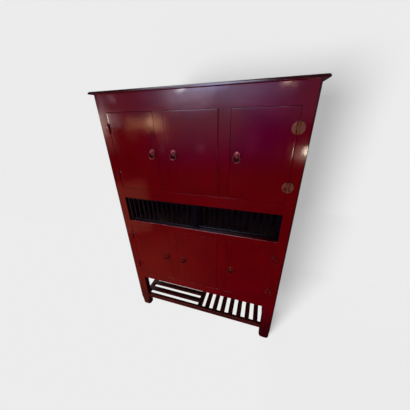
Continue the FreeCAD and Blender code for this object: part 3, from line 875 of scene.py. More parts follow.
class Work:
    """A piece in the making: a mesh that is cut, eased, dressed and set on its body."""

    def __init__(self, name: str, node: str | None = None) -> None:
        """Starts an empty piece with this name, which may stand for a node.

        Args:
            name: The piece's name.
            node: The node that it stands for, if any.
        """
        self.name = name
        self.node = node
        self.bm = bmesh.new()

    @classmethod
    def instead_of(cls, node: str) -> "Work":
        """An empty piece that stands for a node."""
        return cls(f"{node}_finished", node)

    @classmethod
    def copy_of(cls, node: str) -> "Work":
        """A piece with a node's own shape, its triangles merged into faces.

        Args:
            node: The node's name.

        Returns:
            The new piece.
        """
        made = cls.instead_of(node)
        bm = made.bm
        bm.from_mesh(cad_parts[node].data)
        bmesh.ops.remove_doubles(bm, verts=bm.verts, dist=WELD)
        bmesh.ops.dissolve_limit(bm, angle_limit=FLAT_ANGLE, verts=bm.verts, edges=bm.edges)
        return made

    def add_bar(self, low: Vector, high: Vector) -> None:
        """Adds a square bar between two corners.

        Args:
            low: The lowest corner.
            high: The highest corner.
        """
        middle = Matrix.Translation((low + high) / 2)
        shape = middle @ Matrix.Diagonal((*(high - low), 1.0))
        bmesh.ops.create_cube(self.bm, size=1.0, matrix=shape)

    def add_frame(self, low: Vector, high: Vector, inner_low: Vector, inner_high: Vector) -> None:
        """Adds two stiles, and two rails between them.

        Args:
            low: The frame's lowest corner.
            high: The frame's highest corner.
            inner_low: The lowest corner of the space in the frame.
            inner_high: The highest corner of that space.
        """
        self.add_bar(low, Vector((inner_low.x, high.y, high.z)))
        self.add_bar(Vector((inner_high.x, low.y, low.z)), high)
        for bottom, top in ((low.z, inner_low.z), (inner_high.z, high.z)):
            self.add_bar(Vector((inner_low.x, low.y, bottom)), Vector((inner_high.x, high.y, top)))

    def add_rod(self, foot: Vector, radius: float, length: float, rounds: int = 24) -> None:
        """Adds an upright round rod from its foot.

        Args:
            foot: The middle of its lower end.
            radius: Its radius.
            length: Its length.
            rounds: Facets round it.
        """
        bmesh.ops.create_cone(
            self.bm,
            cap_ends=True,
            segments=rounds,
            radius1=radius,
            radius2=radius,
            depth=length,
            matrix=Matrix.Translation(foot + Vector((0, 0, length / 2))),
        )

    def take(self, apart: BMesh) -> None:
        """Adds a shape that was made apart.

        Args:
            apart: The shape's mesh, which is freed.
        """
        bmesh.ops.remove_doubles(apart, verts=apart.verts, dist=WELD)
        bmesh.ops.recalc_face_normals(apart, faces=apart.faces)
        mesh = bpy.data.meshes.new("apart")
        apart.to_mesh(mesh)
        apart.free()
        self.bm.from_mesh(mesh)
        bpy.data.meshes.remove(mesh)

    def layer(self, label: str) -> BMLayerItem:
        """The marks of that label on the faces."""
        layers = self.bm.faces.layers.float
        return layers.get(label) or layers.new(label)

    def mark_new(self, label: str, value: float) -> None:
        """Marks every face that has no such mark yet.

        Args:
            label: The mark's label.
            value: The mark.
        """
        layer = self.layer(label)
        for face in self.bm.faces:
            if not face[layer]:
                face[layer] = value

    def corners(self) -> list[BMEdge]:
        """The edges that stand out, at a corner between two faces.

        Returns:
            Those edges.
        """
        return [
            edge
            for edge in self.bm.edges
            if len(edge.link_faces) == 2 and edge.is_convex and edge.calc_face_angle() > CORNER_ANGLE
        ]

    def ease(self, width: float, chosen: EdgeTest, segments: int = 2) -> None:
        """Rounds the corners that a test chooses, and marks the new faces as an arris.

        Args:
            width: How far the rounding reaches from the corner.
            chosen: The test.
            segments: Facets round the corner.
        """
        layer = self.layer("arris")
        made = bmesh.ops.bevel(
            self.bm,
            geom=[edge for edge in self.corners() if chosen(edge)],
            offset=width,
            segments=segments,
            profile=0.5,
            affect="EDGES",
            clamp_overlap=True,
            material=-1,
        )
        for face in made["faces"]:
            face[layer] = 1.0

    def ease_boxes(self, width: float, front: bool = False) -> None:
        """Rounds the corners of each solid that lie on its box.

        Args:
            width: How far the rounding reaches from the corner.
            front: Whether the other corners of its front face are rounded too.
        """
        self.layer("arris")
        for group in islands(self.bm):
            bounds = box_of(group)
            mine = {edge for face in group for edge in face.edges}

            def on_box(edge: BMEdge) -> bool:
                """Whether an edge of this solid is to be rounded."""
                planes = sum(along_plane(edge, axis, corner[axis]) for corner in bounds for axis in range(3))
                return edge in mine and (planes > 1 or front and along_plane(edge, 1, bounds[0].y))

            self.ease(width, on_box)

    def soften(self, edge: Edge, face: float, reach: float, depth: float, steps: int = 6) -> None:
        """Lets the front face fall away towards an edge, as planing and years of hands leave it.

        Args:
            edge: The axis that crosses the edge, the edge's place on it, and 1 or -1 for the side it is on.
            face: Y of the front face.
            reach: How far from the edge the fall begins.
            depth: How far the edge lies back.
            steps: Facets of the fall.
        """
        axis, place, way = edge
        start = place - way * reach
        across = Vector((axis == 0, 0, axis == 2))
        for step in range(steps):
            bmesh.ops.bisect_plane(
                self.bm,
                geom=[*self.bm.verts, *self.bm.edges, *self.bm.faces],
                plane_co=across * (start + way * reach * step / steps),
                plane_no=across,
            )
        for vert in self.bm.verts:
            share = (vert.co[axis] - start) * way / reach
            if 0 < share < 1 + TOUCH and vert.co.y < face + 3 * depth:
                vert.co.y += depth * share**2

    def wear_foot(self, low: Vector, high: Vector, reach: float, height: float, steps: int = 5) -> None:
        """Rounds a post's front corners towards the floor, as damp and brooms leave a foot.

        Args:
            low: The post's lowest corner.
            high: The post's highest corner.
            reach: How far from the corner the rounding begins at the floor.
            height: How far above the floor it ends.
            steps: Facets of the rounding.
        """
        cuts = [Vector((0, 0, low.z + height))]
        for step in range(1, steps + 1):
            share = step / steps
            cuts.append(Vector((0, 0, low.z + height * share)))
            cuts.append(Vector((low.x + reach * share, 0, 0)))
            cuts.append(Vector((high.x - reach * share, 0, 0)))
            cuts.append(Vector((0, low.y + reach * share, 0)))
        for cut in cuts:
            faces = [face for face in self.bm.faces if box_of([face])[0].z < low.z + height - TOUCH]
            parts = {part for face in faces for part in (face, *face.edges, *face.verts)}
            bmesh.ops.bisect_plane(self.bm, geom=list(parts), plane_co=cut, plane_no=cut)
        middle = (low.x + high.x) / 2
        for vert in self.bm.verts:
            side = low.x + reach if vert.co.x < middle else high.x - reach
            away = Vector((vert.co.x - side, vert.co.y - low.y - reach))
            beyond = away.x * (side - middle) > 0 and away.y < 0
            worn = 1 - (vert.co.z - low.z) / height
            if beyond and worn > 0:
                moved = away.normalized() * max(abs(away.x), abs(away.y)) - away
                vert.co.x += moved.x * worn * (2 - worn)
                vert.co.y += moved.y * worn * (2 - worn)

    def dressed(
        self, finish: Finish, body: str, inside: FaceTest | None = None, inside_finish: Finish = INSIDE
    ) -> None:
        """Turns the work into an object on its body.

        Args:
            finish: The finish of the piece.
            body: The body that it rides on.
            inside: A test of the faces that have another finish.
            inside_finish: That other finish.
        """
        self.bm.normal_update()
        lots = self.layer("lot")
        mesh = bpy.data.meshes.new(self.name)
        palette: list[Material] = []
        for number, group in enumerate(islands(self.bm)):
            low, high = box_of(group)
            size = high - low
            grain = list(Grain)[max(range(3), key=lambda axis: size[axis])]
            for face in group:
                own = inside_finish if inside and inside(face) else finish
                material = own.material(grain)
                if material not in palette:
                    palette.append(material)
                face.material_index = palette.index(material)
                face[lots] = (number * LOT_STEP + low.x + low.z) % 1.0
        for face in self.bm.faces:
            face.smooth = True
        for edge in self.bm.edges:
            edge.smooth = len(edge.link_faces) == 2 and edge.calc_face_angle() < SHARP_ANGLE
        self.bm.to_mesh(mesh)
        self.bm.free()
        for material in palette:
            mesh.materials.append(material)
        made = put(self.name, mesh)
        made.modifiers.new("Even shading", "WEIGHTED_NORMAL").keep_sharp = True
        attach(made, body)
        if self.node:
            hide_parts(self.node)
        LOG.info("%s on %s: %d faces", self.name, body, len(mesh.polygons))


@dataclass
class Carcass:
    """The posts, rails, mullions, sides, back, boards and top."""

    body: str = "carcass"
    post_round: float = 3.0 * MILLIMETRE
    foot_round: float = 10.0 * MILLIMETRE
    foot_facets: int = 6
    foot_reach: float = 21.0 * MILLIMETRE
    foot_height: float = 105.0 * MILLIMETRE
    back_round: float = 3.0 * MILLIMETRE
    frame_round: float = 0.4 * MILLIMETRE
    sill_round: float = 2.2 * MILLIMETRE
    board_round: float = 1.0 * MILLIMETRE
    nose_round: float = 10.0 * MILLIMETRE
    nose_undercut: float = 0.4 * MILLIMETRE
    facets: int = 4

    def build(self) -> None:
        """Makes and dresses every piece."""
        self.top()
        for side in Side:
            self.front_post(f"front_{side.value}_post")
            self.plain(f"back_{side.value}_post", RED, self.back_round)
        for node in ("header_rail", "waist_upper_rail", "waist_lower_rail", "bottom_front_rail", "mullions"):
            self.front_piece(node)
        self.sides()
        for node in ("back_rails", "upper_shelf", "shelf_bearers"):
            self.plain(node, INSIDE, self.board_round)
        for node in ("back_panels", "lower_floor_board", "waist_floor_board", "upper_floor_board"):
            self.plain(node, INSIDE, self.frame_round)

    def plain(self, node: str, finish: Finish, width: float) -> None:
        """A piece whose corners are all eased alike.

        Args:
            node: The node's name.
            finish: The finish of the piece.
            width: How far the rounding reaches.
        """
        work = Work.copy_of(node)
        work.ease_boxes(width)
        work.dressed(finish, self.body)

    def top(self) -> None:
        """The top board, with its nose rounder above than below."""
        low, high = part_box("top_board")
        work = Work.instead_of("top_board")
        work.add_bar(low, high)
        for level, width in ((high.z, self.nose_round), (low.z, self.nose_undercut)):
            work.ease(width, meeting((2, level), (0, low.x), (0, high.x), (1, low.y)), self.facets)
        work.dressed(TOP, self.body)

    def front_post(self, node: str) -> None:
        """A front post, with a rounder outer corner and foot, and painted shade on its faces towards the
        middle.

        Args:
            node: The node's name.
        """
        low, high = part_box(node)
        outer = (0, low.x if low.x < 0 else high.x)
        front = (1, low.y)
        foot = (2, low.z)
        work = Work.copy_of(node)
        work.ease(self.foot_round, lambda edge: along_plane(edge, *foot), self.foot_facets)
        work.wear_foot(low, high, self.foot_reach, self.foot_height)
        work.ease(self.post_round, meeting(outer, front), self.facets)
        work.ease(self.frame_round, lambda edge: along_plane(edge, *front) and not along_plane(edge, *foot))
        work.ease(self.board_round, meeting(outer, (1, high.y)))
        work.dressed(POST_RED, self.body, facing_middle, INNER_SHADE_RED)

    def front_piece(self, node: str) -> None:
        """A rail or the mullions of the front, bare on the back. The waist's sill is rounder and its arrises
        carry a painted highlight.

        Args:
            node: The node's name.
        """
        low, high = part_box(node)
        work = Work.copy_of(node)
        finish = RED
        if node == "waist_lower_rail":
            # The sill's arrises carry a painted highlight.
            finish = SILL_HIGHLIGHT_RED
            front = (1, low.y)
            work.ease(
                self.sill_round,
                lambda edge: along_plane(edge, *front) and edge_above(edge, low, high),
                self.facets,
            )
        work.ease_boxes(self.frame_round, front=True)
        work.dressed(finish, self.body, facing(1, 1))

    def sides(self) -> None:
        """The rails and panels of the sides, bare on the inside."""
        for node in ("side_rails", "side_panels"):
            work = Work.copy_of(node)
            work.ease_boxes(self.frame_round)
            work.dressed(RED, self.body, facing_middle)


@dataclass
class LatticeShelf:
    """The open shelf near the floor."""

    body: str = "carcass"
    rail_round: float = 2.0 * MILLIMETRE
    slat_round: float = 1.6 * MILLIMETRE

    def build(self) -> None:
        """Makes and dresses every piece."""
        for node in ("base_front_rail", "base_back_rail", "base_side_rails", "base_cross_rail"):
            self.piece(node, self.rail_round)
        for node in ("lengthwise_slats", "depthwise_slats"):
            self.piece(node, self.slat_round)

    def piece(self, node: str, width: float) -> None:
        """A rail or a set of slats.

        Args:
            node: The node's name.
            width: How far the rounding reaches.
        """
        work = Work.copy_of(node)
        work.ease_boxes(width)
        work.dressed(SHELF, self.body)


@dataclass
class FaceHinge:
    """A round hinge on the face of a door and its post."""

    place: Vector
    radius: float = 29.0 * MILLIMETRE
    thickness: float = 2.0 * MILLIMETRE
    rim: float = 0.8 * MILLIMETRE
    line_inset: float = 4.0 * MILLIMETRE
    knuckle: float = 5.0 * MILLIMETRE
    gap: float = 0.3 * MILLIMETRE
    door_slit: float = 4.0 * MILLIMETRE
    post_slit: float = 0.6 * MILLIMETRE
    barrel: float = 54.0 * MILLIMETRE
    nail_ring: float = 20.5 * MILLIMETRE
    nail: float = 2.0 * MILLIMETRE
    nail_dome: float = 0.55
    nail_rounds: int = 16
    nail_rings: int = 10
    nail_angles: tuple[float, ...] = (-48.0, 0.0, 48.0)
    rounds: int = 72

    @property
    def face(self) -> float:
        """Y of the door's face behind the hinge."""
        return self.place.y + self.knuckle + self.gap

    def leaf(self, work: Work, way: int, thirds: tuple[int, ...]) -> None:
        """Adds a half-round leaf with its knuckles.

        Args:
            work: The piece that it becomes part of.
            way: The side of the barrel, -1 for the left and 1 for the right.
            thirds: Which thirds of the barrel it carries, counted from below.
        """
        slit = self.post_slit if len(thirds) > 1 else self.door_slit
        self.plate(work, way, slit)
        length = (self.barrel - 2 * self.gap) / 3
        reach = way * (self.knuckle + slit + self.thickness)
        for third in thirds:
            foot = self.place + Vector((0, 0, third * (length + self.gap) - self.barrel / 2))
            work.add_rod(foot, self.knuckle, length)
            low = Vector((min(foot.x, foot.x + reach), self.face - self.thickness, foot.z))
            high = Vector((max(foot.x, foot.x + reach), self.face, foot.z + length))
            work.add_bar(low, high)
        middle = Vector((self.place.x, self.face - self.thickness, self.place.z))
        for angle in self.nail_angles:
            turn = math.radians(angle)
            side = Vector((way * math.cos(turn), 0, math.sin(turn))) * self.nail_ring
            self.nail_head(work, middle + side)

    def plate(self, work: Work, way: int, slit: float) -> None:
        """Adds the half-round plate, turned from its section and cut along the barrel.

        Args:
            work: The piece that it becomes part of.
            way: The side of the barrel, -1 for the left and 1 for the right.
            slit: The space between the barrel and the plate.
        """
        bm = bmesh.new()
        rim = self.rim
        line = self.radius - self.line_inset
        section = [
            (0.0, 0.0),
            (self.radius, 0.0),
            (self.radius, -self.thickness + rim),
            (self.radius - rim, -self.thickness),
            (line, -self.thickness),
            (line - rim, -self.thickness + 0.5 * rim),
            (line - 2 * rim, -self.thickness),
            (0.0, -self.thickness),
        ]
        base = Vector((self.place.x, self.face, self.place.z))
        verts = [bm.verts.new(base + Vector((out, deep, 0))) for out, deep in section]
        edges = [bm.edges.new(pair) for pair in zip(verts, verts[1:])]
        spin_round(bm, verts + edges, base, self.rounds)
        bmesh.ops.remove_doubles(bm, verts=bm.verts, dist=WELD)
        cut = bmesh.ops.bisect_plane(
            bm,
            geom=[*bm.verts, *bm.edges, *bm.faces],
            plane_co=base + Vector((way * (self.knuckle + slit), 0, 0)),
            plane_no=(-way, 0, 0),
            clear_outer=True,
        )
        rest = [item for item in cut["geom_cut"] if isinstance(item, BMEdge)]
        bmesh.ops.contextual_create(bm, geom=rest)
        work.take(bm)

    def nail_head(self, work: Work, place: Vector) -> None:
        """Adds a domed nail head.

        Args:
            work: The piece that it becomes part of.
            place: The head's middle.
        """
        bmesh.ops.create_uvsphere(
            work.bm,
            u_segments=self.nail_rounds,
            v_segments=self.nail_rings,
            radius=self.nail,
            matrix=Matrix.Translation(place) @ Matrix.Diagonal((1.0, self.nail_dome, 1.0, 1.0)),
        )


@dataclass
class Door:
    """A door of one row and column: its frame and its panel."""

    row: Row
    column: Column
    stile: float = 44.0 * MILLIMETRE
    rail: float = 44.0 * MILLIMETRE
    outline_round: float = 0.2 * MILLIMETRE
    outline_facets: int = 3
    sight_round: float = 0.2 * MILLIMETRE
    reveal: float = 0.12 * MILLIMETRE
    setback: float = 0.3 * MILLIMETRE
    fall_reach: float = 9.0 * MILLIMETRE
    fall_depth: float = 0.45 * MILLIMETRE
    top_reach: float = 6.0 * MILLIMETRE
    top_depth: float = 0.1 * MILLIMETRE
    pivot_radius: float = 4.0 * MILLIMETRE
    nose: float = 6.0 * MILLIMETRE
    nose_facets: int = 6
    relief: float = 2.5 * MILLIMETRE

    @property
    def name(self) -> str:
        """The door's name, which is also its body's."""
        return f"{self.row.value}_{self.column.value}_door"

    def build(self) -> None:
        """Makes and dresses every piece."""
        self.frame()
        self.panel()

    def outline(self) -> tuple[Vector, Vector]:
        """The door's lowest and highest corner, without its pivots.

        Returns:
            The two corners.
        """
        low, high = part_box(f"{self.name}_frame")
        side_low, side_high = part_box(f"{self.row.value}_left_door_frame")
        return Vector((low.x, low.y, side_low.z)), Vector((high.x, high.y, side_high.z))

    def frame(self) -> None:
        """The two stiles and two rails, eased at the door's outline and at the panel."""
        low, high = self.outline()
        inner_low = Vector((low.x + self.stile, low.y, low.z + self.rail))
        inner_high = Vector((high.x - self.stile, high.y, high.z - self.rail))
        front = (1, low.y)
        right = (0, high.x)
        work = Work.instead_of(f"{self.name}_frame")
        work.add_frame(low, high, inner_low, inner_high)
        if self.column is Column.MIDDLE:
            work.ease(self.nose, meeting(right, front), self.nose_facets)
            work.ease(self.relief, meeting(right, (1, high.y)), 1)
        outline = meeting(front, (0, low.x), right, (2, low.z), (2, high.z))
        work.ease(self.outline_round, outline, self.outline_facets)
        sight = ((axis, corner[axis]) for axis in (0, 2) for corner in (inner_low, inner_high))
        work.ease(self.sight_round, meeting(front, *sight))
        work.soften((2, high.z, 1), low.y, self.top_reach, self.top_depth)
        if self.column is Column.LEFT:
            work.soften((0, low.x, -1), low.y, self.fall_reach, self.fall_depth)
        elif self.column is Column.RIGHT:
            work.soften((*right, 1), low.y, self.fall_reach, self.fall_depth)
        else:
            self.pivots(work, low, high)
        work.dressed(RED, self.name, facing(1, 1))

    def panel(self) -> None:
        """The board in the frame, a hair behind its face."""
        low, high = self.outline()
        _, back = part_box(f"{self.name}_panel")
        work = Work.instead_of(f"{self.name}_panel")
        inset = Vector((self.stile + self.reveal, self.setback, self.rail + self.reveal))
        work.add_bar(low + inset, Vector((high.x - inset.x, back.y, high.z - inset.z)))
        work.ease(self.sight_round, lambda edge: along_plane(edge, 1, low.y + self.setback))
        work.dressed(RED, self.name, facing(1, 1))

    def pivots(self, work: Work, low: Vector, high: Vector) -> None:
        """Adds the round pivots on the ends of the hinge stile.

        Args:
            work: The piece that they become part of.
            low: The door's lowest corner.
            high: The door's highest corner.
        """
        node_low, node_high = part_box(f"{self.name}_frame")
        foot = Vector((high.x - self.nose, low.y + self.nose, node_low.z))
        work.add_rod(foot, self.pivot_radius, low.z - node_low.z)
        work.add_rod(Vector((foot.x, foot.y, high.z)), self.pivot_radius, node_high.z - high.z)


# How far the brass of the lower and the upper hinge of each door shows through the lacquer.
SHOWING = {
    (Row.UPPER, Column.LEFT): (0.25, 0.12),
    (Row.UPPER, Column.RIGHT): (0.55, 0.85),
    (Row.LOWER, Column.LEFT): (0.06, 0.06),
    (Row.LOWER, Column.RIGHT): (0.36, 0.33),
}


@dataclass
class Hinges:
    """All the round hinges: leaves on the doors, leaves on the posts, and the pins."""

    body: str = "carcass"
    pin_showing: float = 0.9

    def build(self) -> None:
        """Makes and dresses every piece."""
        posts = Work.instead_of("post_hinge_leaves")
        for (row, column), shares in SHOWING.items():
            way = 1 if column is Column.LEFT else -1
            node = f"{row.value}_{column.value}_hinge_leaves"
            leaves = Work.instead_of(node)
            for hinge, share in zip(self.pair(node, way), shares):
                hinge.leaf(leaves, way, (1,))
                hinge.leaf(posts, -way, (0, 2))
                leaves.mark_new("showing", share)
                posts.mark_new("showing", share)
            leaves.dressed(BRASS, f"{row.value}_{column.value}_door")
        posts.dressed(BRASS, self.body)
        pins = Work.copy_of("hinge_pins")
        pins.mark_new("showing", self.pin_showing)
        pins.dressed(BRASS, self.body)

    @staticmethod
    def pair(node: str, way: int) -> list[FaceHinge]:
        """A door's two hinges.

        Args:
            node: The node of the door's leaves.
            way: The side of the barrel that the leaves are on.

        Returns:
            The lower and the upper hinge.
        """
        low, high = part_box(node)
        knuckle = FaceHinge.knuckle
        x = low.x + knuckle if way > 0 else high.x - knuckle
        levels = (low.z + FaceHinge.radius, high.z - FaceHinge.radius)
        return [FaceHinge(Vector((x, low.y + knuckle, z))) for z in levels]


@dataclass
class RingPull:
    """A door's pull: a plate with a boss, the ring that hangs in it and a dark disc of painted shade behind
    the ring.
    """

    row: Row
    column: Column
    bead: float = 1.1 * MILLIMETRE
    disc: float = 1.2 * MILLIMETRE
    boss_showing: float = 0.2
    ring_showing: float = 0.05
    rounds: int = 56
    wire_rounds: int = 20

    @property
    def name(self) -> str:
        """How the names of the pull's pieces begin."""
        return f"{self.row.value}_{self.column.value}"

    @property
    def dark(self) -> bool:
        """Whether the pull has been lacquered with its door, as those of the lower row have."""
        return self.row is Row.LOWER

    def build(self) -> None:
        """Makes and dresses the boss, the ring and the disc."""
        low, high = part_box(f"{self.name}_pull_ring")
        centre = (low + high) / 2
        wire = (high.y - low.y) / 2
        radius = (high.x - low.x) / 2 - wire
        self.boss()
        self.ring(centre, radius, wire)
        self.rest(centre, radius)

    def boss(self) -> None:
        """The plate with its boss, and a bead round the plate."""
        node = f"{self.name}_pull_boss"
        work = Work.copy_of(node)
        low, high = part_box(node)
        centre = Vector(((low.x + high.x) / 2, high.y - self.bead, (low.z + high.z) / 2))
        self.torus(work, centre, (high.x - low.x) / 2 - self.bead, self.bead)
        work.mark_new("showing", self.boss_showing)
        work.dressed(RUDDY_BRONZE if self.dark else WORN_BRONZE, f"{self.name}_door")

    def ring(self, centre: Vector, radius: float, wire: float) -> None:
        """The ring that hangs in the boss.

        Args:
            centre: The ring's middle.
            radius: From there to the middle of the wire.
            wire: Radius of the wire.
        """
        work = Work.instead_of(f"{self.name}_pull_ring")
        self.torus(work, centre, radius, wire)
        work.mark_new("showing", self.ring_showing)
        work.dressed(RUDDY_RING if self.dark else BRONZE, f"{self.name}_ring")

    def rest(self, centre: Vector, radius: float) -> None:
        """The dark disc on the door inside the ring: painted shade where the boss and the ring shade the
        door.

        Args:
            centre: The ring's middle.
            radius: The disc's radius.
        """
        _, boss_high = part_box(f"{self.name}_pull_boss")
        place = Vector((centre.x, boss_high.y - self.disc / 2, centre.z))
        work = Work(f"{self.name}_ring_rest")
        bmesh.ops.create_cone(
            work.bm,
            cap_ends=True,
            segments=self.rounds,
            radius1=radius,
            radius2=radius - self.disc,
            depth=self.disc,
            matrix=Matrix.Translation(place) @ Matrix.Rotation(math.pi / 2, 4, "X"),
        )
        work.dressed(RUDDY_RING_SHADE if self.dark else RING_SHADE_BRONZE, f"{self.name}_door")

    def torus(self, work: Work, centre: Vector, radius: float, wire: float) -> None:
        """Adds a ring that lies in the door's plane.

        Args:
            work: The piece that it becomes part of.
            centre: The ring's middle.
            radius: From there to the middle of the wire.
            wire: Radius of the wire.
        """
        bm = bmesh.new()
        place = Matrix.Translation(centre + Vector((radius, 0, 0)))
        verts = bmesh.ops.create_circle(bm, segments=self.wire_rounds, radius=wire, matrix=place)["verts"]
        edges = list({edge for vert in verts for edge in vert.link_edges})
        spin_round(bm, verts + edges, centre, self.rounds)
        work.take(bm)


@dataclass
class LatticePanel:
    """A sliding panel of the waist: a frame with upright bars."""

    side: Side
    stile: float = 34.0 * MILLIMETRE
    bar_tenon: float = 6.0 * MILLIMETRE
    frame_round: float = 1.2 * MILLIMETRE

    def build(self) -> None:
        """Makes and dresses the frame and the bars."""
        body = f"{self.side.value}_lattice"
        low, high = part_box(f"{body}_frame")
        bars_low, bars_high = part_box(f"{body}_bars")
        inner_low = Vector((low.x + self.stile, low.y, bars_low.z + self.bar_tenon))
        inner_high = Vector((high.x - self.stile, high.y, bars_high.z - self.bar_tenon))
        work = Work.instead_of(f"{body}_frame")
        work.add_frame(low, high, inner_low, inner_high)
        work.ease_boxes(self.frame_round)
        work.dressed(BLACK, body)
        Work.copy_of(f"{body}_bars").dressed(BLACK, body)


@dataclass(frozen=True)
class Panel:
    """A soft light: where it is, what it looks at, its size, colour and brightness."""

    name: str
    place: Place
    aim: Place
    size: tuple[float, float]
    colour: Colour
    brightness: float
    shows_in_gloss: bool = True

    def build(self) -> None:
        """Makes the light. Its power is set so that its face has the given brightness."""
        data = bpy.data.lights.new(self.name, "AREA")
        data.shape = "RECTANGLE"
        data.size, data.size_y = self.size
        data.color = self.colour
        data.energy = self.brightness * self.size[0] * self.size[1] * math.pi
        made = put(self.name, data)
        made.location = self.place
        made.rotation_euler = (Vector(self.aim) - Vector(self.place)).to_track_quat("-Z", "Y").to_euler()
        made.visible_camera = False
        made.visible_glossy = self.shows_in_gloss


@dataclass(frozen=True)
class Glow:
    """A soft patch of light in the room that the lacquer mirrors.

    Angles are in degrees. Left and right are bearings from straight ahead of the doors, positive to the
    right, and bottom and top are levels, positive upwards. The fades are half the width of the soft edge.
    """

    left: float
    right: float
    bottom: float
    top: float
    colour: Colour
    fade_across: float = 2.0
    fade_up: float = 2.0

    def light(self, sheet: Sheet, bearing: NodeSocket, level: NodeSocket) -> NodeSocket:
        """The patch's colour by direction.

        Args:
            sheet: The world's tree.
            bearing: The direction's bearing in degrees.
            level: The direction's level in degrees.

        Returns:
            The colour, black outside the patch.
        """
        across = self.between(sheet, bearing, self.left, self.right, self.fade_across)
        up = self.between(sheet, level, self.bottom, self.top, self.fade_up)
        return sheet.mixed(sheet.maths("MULTIPLY", across, up), NO_LIGHT, self.colour)

    @staticmethod
    def between(sheet: Sheet, angle: NodeSocket, start: float, end: float, fade: float) -> NodeSocket:
        """The patch's share along one of its sides, faded at both ends."""
        begun = sheet.spread(angle, start - fade, start + fade)
        return sheet.maths("MULTIPLY", begun, sheet.spread(angle, end + fade, end - fade))


@dataclass(frozen=True)
class Backdrop:
    """A plain pale plane, with the broad light that throws the cabinet's soft shadow on it."""

    name: str
    place: Place
    size: tuple[float, float]
    tilt: float
    shadow_way: Place
    shade: float = 0.39
    level: float = 0.808
    full_level: float = 0.839
    paint: float = 0.05
    spread: float = math.radians(23)
    shade_from: float = -100.0
    shade_fade: float = 0.12

    def build(self) -> None:
        """Makes the plane and its light."""
        bm = bmesh.new()
        turned = Matrix.Translation(self.place) @ Matrix.Rotation(self.tilt, 4, "X")
        shape = turned @ Matrix.Diagonal((*self.size, 1.0, 1.0))
        bmesh.ops.create_grid(bm, x_segments=1, y_segments=1, size=0.5, matrix=shape)
        mesh = bpy.data.meshes.new(self.name)
        bm.to_mesh(mesh)
        bm.free()
        made = put(self.name, mesh)
        mesh.materials.append(self.material())
        made.visible_glossy = False
        made.visible_shadow = False
        self.light(made)

    def material(self) -> Material:
        """Pale paint that glows, and that can be seen through from behind.

        Returns:
            The material.
        """
        made = bpy.data.materials.new(self.name)
        sheet = Sheet.cleared(made)
        glow = sheet.node("Emission", {"Color": WHITE, "Strength": self.level - self.shade}).outputs[0]
        matt = sheet.node("BsdfDiffuse", {"Color": (self.paint,) * 3}).outputs[0]
        painted = sheet.node("AddShader", {0: glow, 1: matt}).outputs[0]
        bare = sheet.node("Emission", {"Color": WHITE, "Strength": self.full_level}).outputs[0]
        across = sheet.axis(sheet.node("TexCoord").outputs["Object"], "X")
        share = sheet.spread(across, self.shade_from, self.shade_from + self.shade_fade)
        front = sheet.node("MixShader", {0: share, 1: bare, 2: painted}).outputs[0]
        behind = sheet.node("NewGeometry").outputs["Backfacing"]
        clear = sheet.node("BsdfTransparent").outputs[0]
        both = sheet.node("MixShader", {0: behind, 1: front, 2: clear}).outputs[0]
        sheet.node("OutputMaterial", {"Surface": both})
        return made

    def light(self, plane: Object) -> None:
        """A broad light for the plane alone.

        Args:
            plane: The plane.
        """
        way = Vector(self.shadow_way).normalized()
        facing_light = -way.dot(plane.data.polygons[0].normal)
        data = bpy.data.lights.new(f"{self.name}_light", "SUN")
        data.angle = self.spread
        data.energy = self.shade * math.pi / (self.paint * facing_light)
        made = put(f"{self.name}_light", data)
        made.rotation_euler = way.to_track_quat("-Z", "Y").to_euler()
        lit = bpy.data.collections.new(f"{self.name}_lit")
        lit.objects.link(plane)
        made.light_linking.receiver_collection = lit


